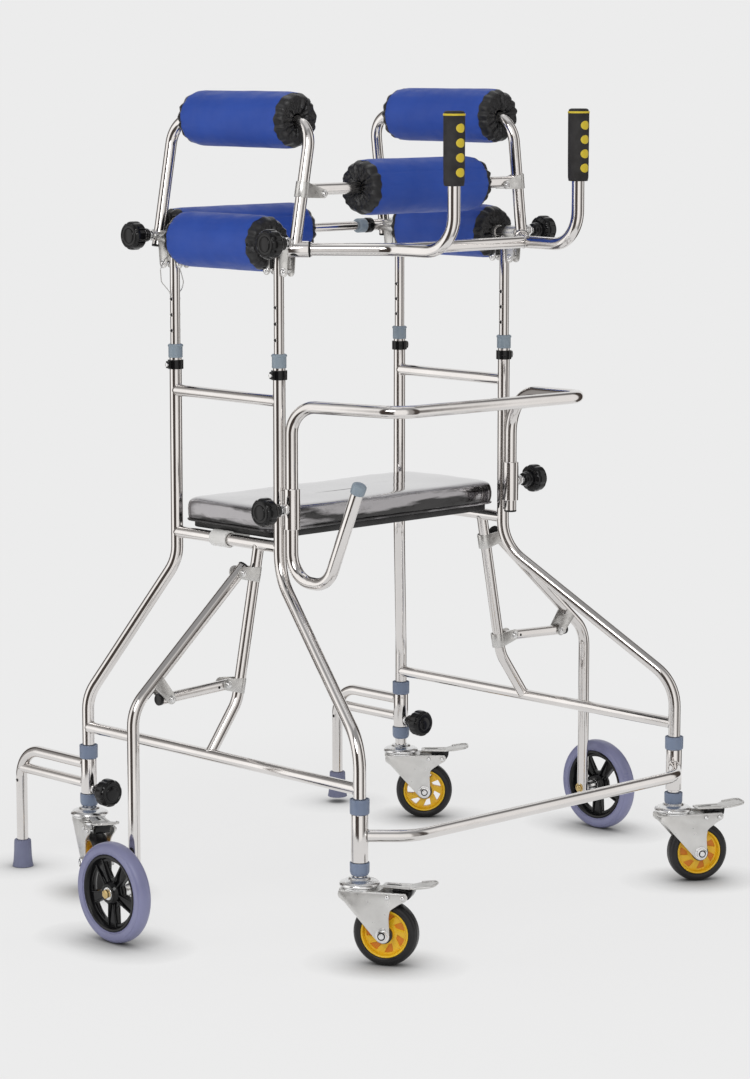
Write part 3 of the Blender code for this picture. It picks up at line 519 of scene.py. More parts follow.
class Piece:
    """The look of one CAD node while it is built: a mesh of several materials."""

    def __init__(self, replaced):
        self.replaced = replaced
        self.mesh = bmesh.new()
        self.uv = self.mesh.loops.layers.uv.new("UVMap")
        self.materials = []

    def slot(self, material):
        if material not in self.materials:
            self.materials.append(material)
        return self.materials.index(material)

    def face(self, verts, index, uvs=()):
        face = self.mesh.faces.new(verts)
        face.material_index = index
        face.smooth = True
        for loop, uv in zip(face.loops, uvs):
            loop[self.uv].uv = uv

    def skin(self, rings, material, closed=False, caps=True):
        """Faces between each ring of points and the next. A ring of one point is a pole."""
        index = self.slot(material)
        rings = [[self.mesh.verts.new(point) for point in ring] for ring in rings]
        if closed:
            rings.append(rings[0])
        length = 0.0
        for one, two in zip(rings, rings[1:]):
            ahead = length + (two[0].co - one[0].co).length
            sides = max(len(one), len(two))
            wide = max((ring[0].co - ring[len(ring) // 2].co).length for ring in (one, two)) * math.pi
            for k in range(sides):
                j = (k + 1) % sides
                left, right = k / sides * wide, (k + 1) / sides * wide
                if len(one) == 1:
                    corners = ((one[0], left, length), (two[j], right, ahead), (two[k], left, ahead))
                elif len(two) == 1:
                    corners = ((one[k], left, length), (one[j], right, length), (two[0], left, ahead))
                else:
                    corners = ((one[k], left, length), (one[j], right, length))
                    corners += ((two[j], right, ahead), (two[k], left, ahead))
                self.face([corner[0] for corner in corners], index, [corner[1:] for corner in corners])
            length = ahead
        if caps and not closed:
            for ring in (rings[0], rings[-1]):
                if len(ring) > 2:
                    self.face(ring, index)

    def sweep(self, points, radius, material, sides=TUBE_SIDES, closed=False):
        """A round bar through these points; radius is one number or one for each point."""
        count = len(points)
        radii = radius if isinstance(radius, list) else [radius] * count
        normal = None
        rings = []
        for i, (point, size) in enumerate(zip(points, radii)):
            if closed:
                ahead = (points[(i + 1) % count] - points[i - 1]).normalized()
            else:
                ahead = (points[min(i + 1, count - 1)] - points[max(i - 1, 0)]).normalized()
            if normal is None:
                normal = ahead.orthogonal()
            normal = (normal - ahead * normal.dot(ahead)).normalized()
            side = ahead.cross(normal)
            rings.append([point + (normal * across + side * up) * size for across, up in circle(1.0, sides)])
        self.skin(rings, material, closed)

    def tube(self, corners, radius, material=STEEL, bend=0.05):
        """A bent round tube with slightly eased ends."""
        points = arced(corners, bend)
        first = (points[1] - points[0]).normalized() * EASE
        last = (points[-1] - points[-2]).normalized() * EASE
        points = [points[0], points[0] + first] + points[1:-1] + [points[-1] - last, points[-1]]
        radii = [radius - EASE] + [radius] * (len(points) - 2) + [radius - EASE]
        self.sweep(points, radii, material)

    def lathe(self, profile, material, axis=Z, point=(0, 0, 0), steps=TURN_STEPS, closed=False, lobe=None):
        """A turned shape from pairs of radius and height. lobe changes the radius by angle."""
        matrix = placed(axis, point)
        rings = []
        for radius, height in profile:
            if radius < 0.00001:
                rings.append([matrix @ Vector((0, 0, height))])
                continue
            ring = []
            for k in range(steps):
                angle = 2 * math.pi * k / steps
                reach = radius * (lobe(angle) if lobe else 1.0)
                ring.append(matrix @ Vector((*polar(reach, angle), height)))
            rings.append(ring)
        self.skin(rings, material, closed)

    def turned(self, profile, ease, material, axis=Z, point=(0, 0, 0), steps=TURN_STEPS, closed=False):
        """A turned shape whose corners are rounded."""
        self.lathe(eased(profile, ease, closed), material, axis, point, steps, closed)

    def rod(self, radius, start, end, material=STEEL, ease=EASE, steps=TURN_STEPS):
        """A round bar between two points with eased rims."""
        long = (end - start).length
        profile = [(0, 0), (radius, 0), (radius, long), (0, long)]
        self.turned(profile, ease, material, end - start, start, steps)

    def ring(self, outer, inner, start, end, material=STEEL, ease=EASE, steps=TURN_STEPS):
        """A thick ring between two points on its axis."""
        long = (end - start).length
        profile = [(outer, 0), (outer, long), (inner, long), (inner, 0)]
        self.turned(profile, ease, material, end - start, start, steps, True)

    def bore(self, mouth, out, rim, deep=0.0012):
        """A round hole with a narrow rim and a disc of painted shadow for its bottom."""
        self.ring(HOLE_R + rim, HOLE_R, mouth, mouth + out * deep, STEEL, 0.0002, 24)
        self.rod(HOLE_R, mouth, mouth + out * 0.001, SHADOW, 0.0001, 24)

    def cap(self, radius, end, out, into=0.001, proud=0.003, ease=0.0012):
        """The black plug at a tube's end."""
        self.rod(radius, end - out * into, end + out * proud, BLACK, ease)

    def add(self, shape, matrix, material):
        """Takes over another mesh."""
        index = self.slot(material)
        verts = {vert: self.mesh.verts.new(matrix @ vert.co) for vert in shape.verts}
        for face in shape.faces:
            self.face([verts[vert] for vert in face.verts], index)
        shape.free()

    def slab(self, outline, low, high, material, matrix=Matrix.Identity(4), bevel=0.0006):
        """A flat outline pushed from one height to another, with eased rims."""
        shape = bmesh.new()
        face = shape.faces.new([shape.verts.new((x, y, low)) for x, y in outline])
        pushed = bmesh.ops.extrude_face_region(shape, geom=[face])
        verts = [item for item in pushed["geom"] if isinstance(item, bmesh.types.BMVert)]
        bmesh.ops.translate(shape, verts=verts, vec=(0, 0, high - low))
        bmesh.ops.recalc_face_normals(shape, faces=shape.faces)
        rims = [edge for edge in shape.edges if edge.calc_face_angle(0.0) > math.radians(50)]
        bmesh.ops.bevel(
            shape, geom=rims, offset=bevel, segments=2, profile=0.5, affect="EDGES", clamp_overlap=True
        )
        self.add(shape, matrix, material)

    def plate(self, outline, ease, low, high, material, matrix, bevel):
        """A slab whose outline has rounded corners."""
        self.slab(eased(outline, ease, True), low, high, material, matrix, bevel)

    def block(self, low, high, material, matrix=Matrix.Identity(4)):
        outline = [(low[0], low[1]), (high[0], low[1]), (high[0], high[1]), (low[0], high[1])]
        self.slab(outline, low[2], high[2], material, matrix, 0.0015)

    def pierced(self, outlines, half_thick, material, matrix, bevel):
        """A sheet cut to the first outline with a hole for each of the others."""
        data = bpy.data.curves.new("sheet", "CURVE")
        data.dimensions = "2D"
        data.fill_mode = "BOTH"
        data.extrude = half_thick - bevel
        data.bevel_depth = bevel
        data.bevel_resolution = 1
        data.offset = -bevel
        for outline in outlines:
            spline = data.splines.new("POLY")
            spline.use_cyclic_u = True
            spline.points.add(len(outline) - 1)
            for slot, (x, y) in zip(spline.points, outline):
                slot.co = (x, y, 0.0, 1.0)
        obj = put("sheet", data)
        bpy.context.view_layer.update()
        mesh = bpy.data.meshes.new_from_object(obj.evaluated_get(bpy.context.evaluated_depsgraph_get()))
        bpy.data.objects.remove(obj, do_unlink=True)
        shape = bmesh.new()
        shape.from_mesh(mesh)
        bmesh.ops.remove_doubles(shape, verts=shape.verts, dist=0.000002)
        bpy.data.meshes.remove(mesh)
        self.add(shape, matrix, material)

    def hexagon(self, radius, height, axis, point, material=BRIGHT):
        """A hexagonal nut or bolt head whose corners are turned off."""
        outline = [polar(radius, math.radians(60 * k)) for k in range(6)]
        self.slab(outline, 0, height, material, placed(axis, point), 0.0005)

    def bolt(self, radius, axis, point, material=BRIGHT, washer=True):
        """A domed bolt head on a washer, standing on this point."""
        if washer:
            wide = radius * 1.45
            self.turned([(0, 0), (wide, 0), (wide, 0.001), (0, 0.001)], 0.0003, material, axis, point)
        dome = [(0, 0.0008), (radius, 0.0008), (radius, 0.002)]
        for step in range(1, 6):
            across, up = polar(radius, math.radians(90 * step / 5))
            dome.append((across if step < 5 else 0.0, 0.002 + up * 0.55))
        self.lathe(dome, material, axis, point)

    def weld(self, on, along, radius, out, branch_r):
        """The bead where a tube leaving in one direction meets the side of another."""
        along, out = Vector(along).normalized(), Vector(out).normalized()
        u = (along - out * along.dot(out)).normalized()
        v = out.cross(u)
        points = []
        for across, up in circle(1.0, 36):
            foot = (u * across + v * up) * branch_r
            flat_foot = foot - along * foot.dot(along)
            flat_out = out - along * out.dot(along)
            a = flat_out.dot(flat_out)
            b = 2 * flat_foot.dot(flat_out)
            c = flat_foot.dot(flat_foot) - radius * radius
            root = max(b * b - 4 * a * c, 0.0)
            points.append(on + foot + out * (-b + math.sqrt(root)) / (2 * a))
        sizes = [WELD_R * (1.0 + 0.18 * math.sin(11 * k) + 0.12 * math.sin(5 * k)) for k in range(36)]
        self.sweep(points, sizes, STEEL, 8, True)

    def strap(self, axis, point, radius, wide, out, reach, half_gap, bolt_at, wrapped=True):
        """A folded steel strap round a tube, with two round-ended ears that a bolt pulls together."""
        local = seated(axis, out, point)
        outer, inner = radius + STRAP_THICK, radius + 0.0002
        start = math.asin(min(1.0, (half_gap + STRAP_THICK) / outer))
        steps = 26
        arc = [start + (2 * math.pi - 2 * start) * k / steps for k in range(steps + 1)]
        if wrapped:
            band = [polar(outer, angle) for angle in arc] + [polar(inner, angle) for angle in reversed(arc)]
            self.slab(band, -wide / 2, wide / 2, STRAP, local, 0.0003)
        root = outer * math.cos(start) - 0.0016
        round_x, round_y = reach - bolt_at, min(reach - bolt_at, wide / 2)
        ear = [(root, -wide / 2)]
        for k in range(17):
            across, up = polar(1.0, math.pi * (k / 16 - 0.5))
            ear.append((bolt_at + round_x * across, round_y * up))
        ear.append((root, wide / 2))
        for sign in (-1, 1):
            near, far = sorted((-sign * half_gap, -sign * (half_gap + STRAP_THICK)))
            self.slab(ear, near, far, STRAP, local @ STAND, 0.0005)
        self.rod(0.003, *(local @ Vector((bolt_at, across, 0)) for across in (-half_gap, half_gap)), BRIGHT)
        for sign in (-1, 1):
            head = local @ Vector((bolt_at, sign * (half_gap + STRAP_THICK), 0))
            self.bolt(0.0042, local.to_3x3() @ (Y * sign), head)

    def finish(self, body, smooth=38.0):
        """Puts the piece in the scene, on its body and in place of its CAD node."""
        name = f"{self.replaced}_look"
        bmesh.ops.recalc_face_normals(self.mesh, faces=self.mesh.faces)
        data = bpy.data.meshes.new(name)
        self.mesh.to_mesh(data)
        self.mesh.free()
        for material in self.materials:
            data.materials.append(material)
        data.set_sharp_from_angle(angle=math.radians(smooth))
        obj = put(name, data)
        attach(obj, body)
        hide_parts(self.replaced)
        return obj


# Frame


def collar(piece, foot, ends, cupped):
    """A plastic collar with an open mouth on top; a lower one is rounded like a cup."""
    low, high = ends
    round_in, rise = (0.0042, 0.006) if cupped else (0.001, 0.0014)
    profile = [
        (0, low), (COLLAR_R - round_in, low), (COLLAR_R - round_in * 0.35, low + rise * 0.35),
        (COLLAR_R, low + rise), (COLLAR_R + 0.0002, high - 0.004), (COLLAR_R + 0.0002, high),
        (COLLAR_R - 0.0012, high + 0.0002), (COLLAR_R - 0.0016, high - 0.0016), (0, high - 0.0018),
    ]
    piece.turned(profile, 0.0009, COLLAR, Z, foot, 56)


def bush(piece, top):
    """The plastic bush in the mouth of an upright."""
    low, high = BUSH_Z
    lip = high - 0.0045
    inner = INNER_R + 0.0009
    profile = [
        (inner, low), (BUSH_R - 0.001, low), (BUSH_R - 0.001, lip), (BUSH_R, lip + 0.0004),
        (BUSH_R, high - 0.0015), (BUSH_R - 0.002, high), (inner, high),
    ]
    piece.turned(profile, 0.0005, BUSH, Z, top, closed=True)


def snap_clip(piece, top, out):
    """The black band round an upright with its button on the outer side."""
    low, high = (top + Z * z for z in CLIP_Z)
    piece.ring(CLIP_R - 0.0008, LEG_R - 0.0002, low, high, BLACK)
    middle = (low + high) / 2
    place = seated(out, Z, middle + out * 0.0115)
    piece.block((-0.006, -0.0045, 0.0), (0.006, 0.0045, 0.006), BLACK, place)
    piece.rod(0.0032, middle + out * 0.016, middle + out * 0.02, BRIGHT)


def leg_parts(piece, corner, side, upright_y, leg_y, knee_z):
    path = [
        at(side, UPRIGHT_X, upright_y, LEG_TOP_Z),
        at(side, UPRIGHT_X, upright_y, HIP_Z),
        at(side, LEG_X, leg_y, knee_z),
        at(side, LEG_X, leg_y, LEG_FOOT_Z),
    ]
    piece.tube(path, LEG_R, STEEL, LEG_BEND)
    foot = at(side, LEG_X, leg_y, 0)
    collar(piece, foot, UPPER_COLLAR_Z[corner], False)
    collar(piece, foot, LOWER_COLLAR_Z[corner], True)
    top = at(side, UPRIGHT_X, upright_y, 0)
    bush(piece, top)
    snap_clip(piece, top, X * side)


def front_leg(word, side):
    piece = Piece(f"{word}_front_leg")
    leg_parts(piece, f"{word}_front", side, -UPRIGHT_Y, FRONT_LEG_Y, FRONT_KNEE_Z)
    low, high = GUARD_SLEEVE_Z
    x = GUARD_X[word]
    piece.ring(GUARD_SLEEVE_R, 0.0108, at(side, x, GUARD_Y, low), at(side, x, GUARD_Y, high))
    for height in (low + 0.012, high - 0.012):
        wall = at(side, UPRIGHT_X, -UPRIGHT_Y - 0.0108, height)
        piece.rod(0.003, at(side, x, GUARD_Y + 0.01, height), wall)
    steps = 12
    heights = [low + 0.004 + (high - low - 0.008) * k / steps for k in range(steps + 1)]
    for offset in (-0.0055, 0.0055):
        seam = [at(side, (UPRIGHT_X + x) / 2 + offset, (GUARD_Y - UPRIGHT_Y) / 2, z) for z in heights]
        piece.sweep(seam, 0.0034, STEEL, 10)
    boss = at(side, x + GUARD_SLEEVE_R - 0.001, GUARD_Y, (low + high) / 2)
    piece.rod(0.0068, boss, boss + X * side * 0.0034, BRIGHT)
    piece.finish("frame")


def weld_between(piece, front, rear):
    """The beads where a straight tube meets a leg at each end."""
    piece.weld(front, Z, LEG_R, Y, RAIL_R)
    piece.weld(rear, Z, LEG_R, -Y, RAIL_R)


def rear_leg(word, side):
    piece = Piece(f"{word}_rear_leg")
    leg_parts(piece, f"{word}_rear", side, UPRIGHT_Y, REAR_LEG_Y, REAR_KNEE_Z)
    rear = at(side, UPRIGHT_X, UPRIGHT_Y, CROSSBAR_Z)
    front = at(side, UPRIGHT_X, -UPRIGHT_Y, CROSSBAR_Z)
    piece.tube([rear, front + Y * TUBE_INSET], RAIL_R)
    weld_between(piece, front, rear)
    piece.finish("frame")


def side_rail(word, side):
    piece = Piece(f"{word}_side_rail")
    for x, front_y, rear_y, z in (
        (UPRIGHT_X, -UPRIGHT_Y, UPRIGHT_Y, SEAT_TUBE_Z),
        (LEG_X, FRONT_LEG_Y, REAR_LEG_Y, LOWER_RAIL_Z),
    ):
        front, rear = at(side, x, front_y, z), at(side, x, rear_y, z)
        piece.tube([front + Y * TUBE_INSET, rear - Y * TUBE_INSET], RAIL_R)
        weld_between(piece, front, rear)
    top = at(side, UPRIGHT_X, BRACE_Y, SEAT_TUBE_Z)
    elbow = at(side, BRACE_X, BRACE_Y, BRACE_Z)
    foot = at(side, LEG_X, BRACE_Y, LOWER_RAIL_Z)
    radius = RAIL_R - 0.0003
    piece.tube([top, elbow, foot], radius, STEEL, 0.06)
    for end in (top, foot):
        piece.weld(end, Y, RAIL_R, elbow - end, radius)
    piece.finish("frame")


def leg_sleeve(piece, side, y, ends):
    """The steel sleeve round a lower leg, seen from outside."""
    piece.ring(SLEEVE_R, 0.0106, *(at(side, LEG_X, y, z) for z in ends))


def bow_bar():
    piece = Piece("front_bow_bar")
    joints = [at(side, LEG_X, FRONT_LEG_Y, BOW_Z) for side in (-1, 1)]
    bends = [at(side, BOW_X, BOW_Y, BOW_Z) for side in (-1, 1)]
    points = arced([joints[0], *bends, joints[1]], 0.06)
    for end, inside in ((0, 1), (-1, -2)):
        points[end] = points[end].lerp(points[inside], 0.012 / (points[inside] - points[end]).length)
    piece.sweep(points, RAIL_R, STEEL)
    for (word, side), joint, bend in zip(SIDES.items(), joints, bends):
        leg_sleeve(piece, side, FRONT_LEG_Y, BOW_SLEEVE_Z[word])
        piece.weld(joint, Z, SLEEVE_R, bend - joint, RAIL_R)
    piece.finish("frame")


def foot_bar(word, side):
    piece = Piece(f"{word}_foot_bar")
    y = FOOT_Y[word]
    high, low = FOOT_UPPER_Z[word], FOOT_LOWER_Z[word]
    ease = Y * 0.0115
    joint = at(side, LEG_X, REAR_LEG_Y, high)
    path = [joint + ease, at(side, LEG_X, y, high), at(side, LEG_X, y, FOOT_LIFT[word] + 0.016)]
    piece.tube(path, RAIL_R, STEEL, 0.05)
    piece.weld(joint, Z, SLEEVE_R, Y, RAIL_R)
    near, far = at(side, LEG_X, REAR_LEG_Y, low), at(side, LEG_X, y, low)
    piece.tube([near + ease, far - Y * TUBE_INSET], FOOT_LOWER_R)
    piece.weld(near, Z, SLEEVE_R, Y, FOOT_LOWER_R)
    piece.weld(far, Z, RAIL_R, -Y, FOOT_LOWER_R)
    leg_sleeve(piece, side, REAR_LEG_Y, FOOT_SLEEVE_Z[word])
    boss = at(side, LEG_X, REAR_LEG_Y - SLEEVE_R + 0.001, FOOT_KNOB_Z[word])
    piece.rod(0.0068, boss, boss - Y * FOOT_BOSS, BRIGHT)
    # The button hole near the top of the upright part
    for out in (-X, X):
        piece.bore(at(side, LEG_X, y, low - 0.022) + out * (RAIL_R - 0.0009), out, 0.0008)
    piece.finish(f"{word}_foot")


def foot_tip(word, side):
    piece = Piece(f"{word}_foot_tip")
    tall = FOOT_TIP_TALL
    profile = [
        (0, 0.015), (0.01, 0.015), (0.01, tall + 0.0005), (0.0128, tall + 0.0005), (0.0139, tall - 0.0006),
        (0.0143, tall - 0.003), (0.0147, 0.03), (0.0153, 0.017), (0.0162, 0.0085), (0.0172, 0.003),
        (FOOT_TIP_R, 0.0008), (FOOT_TIP_R - 0.0008, 0.0), (0, 0),
    ]
    piece.turned(profile, 0.0004, TIP, Z, at(side, LEG_X, FOOT_Y[word], FOOT_LIFT[word]), 56)
    piece.finish(f"{word}_foot")


def outrigger_axle(piece, axis, out, x):
    """The axle through the leg with its spacer, washer and nut outside the wheel and its bolt head inside."""
    far = OUT_WHEEL_X + OUT_WHEEL_WIDE / 2 - x
    near = OUT_WHEEL_X - OUT_WHEEL_WIDE / 2 - x
    piece.rod(0.0058, axis, axis + out * (far + 0.001), BRIGHT)
    piece.rod(0.01, axis + out * 0.004, axis + out * (near - 0.0004), BRIGHT, 0.0008)
    piece.rod(0.0092, axis + out * (far + 0.0004), axis + out * (far + 0.0012), BRIGHT, 0.0003)
    piece.hexagon(0.0076, 0.0044, out, axis + out * (far + 0.001), BRASS)
    piece.bolt(0.006, -out, axis - out * (RAIL_R - 0.0012), BRASS)


def outrigger(word, side):
    piece = Piece(f"{word}_outrigger_leg")
    x, y, _ = OUT_ELBOW
    top, elbow = at(side, *OUT_TOP), at(side, *OUT_ELBOW)
    foot = at(side, x, y, OUT_AXLE_Z - 0.014)
    piece.tube([top, elbow, foot], RAIL_R, STEEL, 0.06)
    run = (elbow - top).normalized()
    piece.cap(RAIL_R + 0.0004, top, -run)
    piece.cap(RAIL_R + 0.0004, foot, -Z)
    out = X * side
    outrigger_axle(piece, at(side, x, y, OUT_AXLE_Z), out, x)
    link = [at(side, LINK_X[0] + 0.004, y, LINK_Z + 0.0052), at(side, LINK_X[1], y, LINK_Z - 0.001)]
    piece.tube(link, LINK_R)
    piece.cap(LINK_R + 0.0005, link[1], out, 0.002, 0.004, 0.0014)
    # The bolt hole through the link, drawn as a disc of painted shadow on each face
    hole = link[0].lerp(link[1], 0.22)
    for facing in (-Y, Y):
        mouth = hole + facing * (LINK_R - 0.0008)
        piece.rod(0.0023, mouth, mouth + facing * 0.001, SHADOW, 0.0001, 20)
    brace_top = at(side, UPRIGHT_X, y, SEAT_TUBE_Z)
    brace_run = (at(side, BRACE_X, y, BRACE_Z) - brace_top).normalized()

    def on_brace(height):
        """The point of the brace's middle line at this height."""
        return brace_top + brace_run * (height - brace_top.z) / brace_run.z

    # The link's inner end sits between the ears of a strap on the brace
    piece.strap(brace_run, on_brace(LINK_Z + 0.0005), RAIL_R, STRAP_WIDE, out, 0.04, 0.0092, 0.0305)
    # The link's outer end hangs from a folded strap round the outrigger tube
    hold = top.lerp(elbow, (0.47 - OUT_TOP[0]) / (OUT_ELBOW[0] - OUT_TOP[0])) - run * 0.003
    inward = Vector((-side * run.z, 0, side * run.x))
    inward = inward if inward.z < 0 else -inward
    piece.strap(run, hold, RAIL_R, 0.0223, inward, 0.048, 0.0092, 0.0395, wrapped=False)
    # The top end is bolted between the ears of a second strap on the brace
    head = on_brace(OUT_TOP[2] - 0.0135)
    piece.strap(brace_run, head, RAIL_R, STRAP_WIDE, (side, 0, 0.17), 0.0427, 0.01, 0.0331)
    piece.finish("frame")


# Wheels


def window(inner, outer, half, middle, ease=0.004, lean=0.0):
    """A window between two spokes with rounded corners, leaning by this angle towards the hub."""
    corners = [polar(outer, middle + half * (k / 4 - 1)) for k in range(9)]
    corners += [polar(inner, middle + lean + half * 0.72 * (1 - k)) for k in range(3)]
    return eased(corners, ease, closed=True)


def tyre(replaced, body, hub, out, profile, ease, material, steps, beads, bead_r, bead_sides):
    """A tyre from the upper half of its profile, with beads at pairs of radius and height."""
    piece = Piece(replaced)
    piece.turned(profile, ease, material, out, hub, steps, True)
    matrix = seated(out, Z, hub)
    for radius, lift in beads:
        line = [matrix @ Vector((*point, lift)) for point in circle(radius, steps)]
        piece.sweep(line, bead_r, material, bead_sides, True)
    piece.finish(body)


def outrigger_wheel(word, side):
    hub = at(side, OUT_WHEEL_X, OUT_ELBOW[1], OUT_AXLE_Z)
    half = OUT_WHEEL_WIDE / 2
    out = X * side
    rim = Piece(f"{word}_outrigger_rim")
    matrix = seated(out, Z, hub)
    band = mirrored([(0.0606, 0.011), (0.0588, 0.012), (0.056, 0.0114), (0.053, 0.0056)])
    rim.turned(band, 0.0008, BLACK, out, hub, 72, True)
    boss = mirrored([(0.0062, half), (0.0125, half), (0.0165, half - 0.004), (0.0185, 0.006)])
    rim.turned(boss, 0.001, BLACK, out, hub, 48, True)
    turns = [2 * math.pi * number / 5 for number in range(5)]
    outlines = [circle(0.0545, 80), circle(0.015, 40)]
    outlines += [window(0.024, 0.049, math.radians(25), turn) for turn in turns]
    rim.pierced(outlines, 0.0036, BLACK, matrix, 0.0009)
    for turn in turns:
        for offset in (-0.17, 0.17):
            angle = math.radians(36) + turn
            for lift in (-0.004, 0.004):
                inner = Vector((*polar(0.018, angle + offset * 1.6), lift * 1.6))
                outer = Vector((*polar(0.054, angle + offset), lift))
                rim.sweep([matrix @ inner, matrix @ outer], 0.0016, BLACK, 10)
    for facing in (-out, out):
        near, far = hub + facing * (half - 0.001), hub + facing * (half + 0.0002)
        rim.ring(0.015, 0.01, near, far, BLACK)
        rim.ring(0.01, 0.0062, near, far, BRIGHT, 0.0003)
    rim.finish(f"{word}_outrigger_wheel")
    profile = mirrored([
        (0.0607, -0.0112), (0.064, -0.0126), (0.0698, -0.013), (0.0752, -0.0116), (0.078, -0.0078),
        (OUT_WHEEL_R, -0.0034),
    ])
    pairs = ((0.0632, 0.0124), (0.0728, 0.0122))
    beads = [(radius, face * lift) for face in (-1, 1) for radius, lift in pairs]
    tyre(
        f"{word}_outrigger_tyre", f"{word}_outrigger_wheel",
        hub, out, profile, 0.0022, LAVENDER, 96, beads, 0.0006, 8,
    )


# Casters


def across(stance, along, reach, height):
    """The two points at this distance on either side of the fork's middle."""
    return [stance @ Vector((along, sign * reach, height)) for sign in (-1, 1)]


def caster_fork(corner, stance):
    piece = Piece(f"{corner}_caster_fork")
    cheek = [
        (-0.0275, 0.116), (0.08, 0.116), (0.081, 0.107), (0.067, 0.099), (0.053, 0.089), (0.0515, 0.076),
        (0.053, 0.046), (0.049, 0.0395), (0.042, 0.0372), (0.035, 0.0395), (0.0285, 0.046), (-0.0185, 0.0985),
        (-0.0285, 0.106),
    ]
    turn = stance.to_3x3()
    for sign in (-1, 1):
        face = sign * FORK_HALF
        inner, outer = sorted((sign * (FORK_HALF - PLATE_THICK), face))
        piece.plate(cheek, 0.004, -outer, -inner, PLATE, stance @ STAND, 0.0007)
        nut = stance @ Vector((CASTER_TRAIL, face, CASTER_WHEEL_R))
        out = turn @ (Y * sign)
        piece.rod(0.0108, nut, nut + out * 0.001, BRIGHT, 0.0003)
        piece.hexagon(0.0092, 0.005, out, nut + out * 0.0008)
        # A ring of painted shadow round the axle end on the nut
        piece.ring(0.0062, 0.0046, nut + out * 0.0052, nut + out * 0.0062, SHADOW, 0.0002, 30)
        piece.rod(0.0044, nut, nut + out * 0.0072, BRIGHT, 0.0008)
        for along in (0.05, 0.0735):
            head = stance @ Vector((along, face - sign * 0.0002, 0.1098))
            piece.bolt(0.0036, out, head, washer=False)
        # The pressed shoulder that rolls from the crown into the cheek
        shoulder = sign * (FORK_HALF - 0.0018)
        ridge = [stance @ Vector((along, shoulder, 0.1146)) for along in (-0.024, 0.01, 0.044, 0.078)]
        piece.sweep(ridge, 0.0021, PLATE, 16)
    half = FORK_HALF - 0.0012
    crown = [
        (-0.027, -half), (0.03, -half), (0.035, -0.012), (0.035, 0.012), (0.03, half), (-0.027, half),
        (-0.029, 0.01), (-0.029, -0.01),
    ]
    piece.plate(crown, 0.006, 0.1128, 0.1166, PLATE, stance, 0.0012)
    axis, foot = turn @ Z, stance.translation
    lower = [(0, 0.116), (0.0262, 0.116), (0.027, 0.1174), (0.027, 0.1186), (0.0258, 0.1194), (0, 0.1194)]
    piece.turned(lower, 0.0006, BRIGHT, axis, foot, 56)
    # A thin disc of painted shadow in the gap between the lower race and the dome
    piece.lathe([(0, 0.119), (0.0262, 0.119), (0.0262, 0.1206), (0, 0.1206)], SHADOW, axis, foot, 56)
    upper = [
        (0, 0.1202), (0.0296, 0.1202), (0.031, 0.1212), (0.0312, 0.123), (0.03, 0.1252), (0.0268, 0.1274),
        (0.0225, 0.129), (0.0188, 0.13), (0.0172, 0.1312), (0.016, 0.133), (0.014, 0.134), (0, 0.1342),
    ]
    piece.turned(upper, 0.001, BRIGHT, axis, foot, 56)
    piece.rod(0.004, *across(stance, CASTER_TRAIL, FORK_HALF + 0.001, CASTER_WHEEL_R), BRIGHT)
    piece.finish(f"{corner}_swivel")


def caster_brake(corner, stance):
    piece = Piece(f"{corner}_caster_brake")
    pivot = stance @ Matrix.Translation((BRAKE_PIN[0], 0, BRAKE_PIN[1]))
    piece.rod(0.0042, *across(pivot, 0, FORK_HALF - PLATE_THICK - 0.001, 0), BRIGHT)
    web = [(-0.005, 0.0108), (-0.005, -0.001), (0.001, -0.0035), (0.006, -0.001), (0.011, 0.0108)]
    piece.plate(web, 0.0015, -0.013, 0.013, BLACK, pivot @ STAND, 0.0008)
    shoe = [
        (0.006, 0.0105), (0.002, -0.006), (0.009, -0.009), (0.02, -0.006), (0.025, 0.002), (0.026, 0.0105),
    ]
    piece.plate(shoe, 0.002, -0.0125, 0.0125, BLACK, pivot @ STAND, 0.0008)
    deck = [(-0.023, -0.012), (0.024, -0.015), (0.024, 0.015), (-0.023, 0.012)]
    piece.plate(deck, 0.003, 0.0102, 0.0128, PLATE, pivot, 0.0008)
    # The deck's slot, a thin plate of painted shadow, and its two raised ribs
    slot = [(-0.017, -0.0022), (0.006, -0.0022), (0.006, 0.0022), (-0.017, 0.0022)]
    piece.plate(slot, 0.0021, 0.0124, 0.013, SHADOW, pivot, 0.0001)
    for side in (-0.0085, 0.0085):
        ends = [pivot @ Vector((along, side, 0.0127)) for along in (-0.018, 0.02)]
        piece.rod(0.001, *ends, PLATE, 0.0003, 12)
    lip = pivot @ Matrix.Translation((0.02, 0, 0.0115)) @ Matrix.Rotation(math.radians(-LIP_TILT), 4, "Y")
    pad = mirrored([(-0.001, -0.014), (0.014, -0.022), (0.034, -0.0205), (0.0416, -0.012)])
    piece.plate(pad, 0.005, -0.0012, 0.0012, PLATE, lip, 0.0008)
    edge = eased(mirrored([(0.012, -0.0212), (0.033, -0.0198), (0.0404, -0.0112)]), 0.006)
    piece.sweep([lip @ Vector((x, y, 0.0012)) for x, y in edge], 0.0014, PLATE, 12)
    piece.finish(f"{corner}_brake")


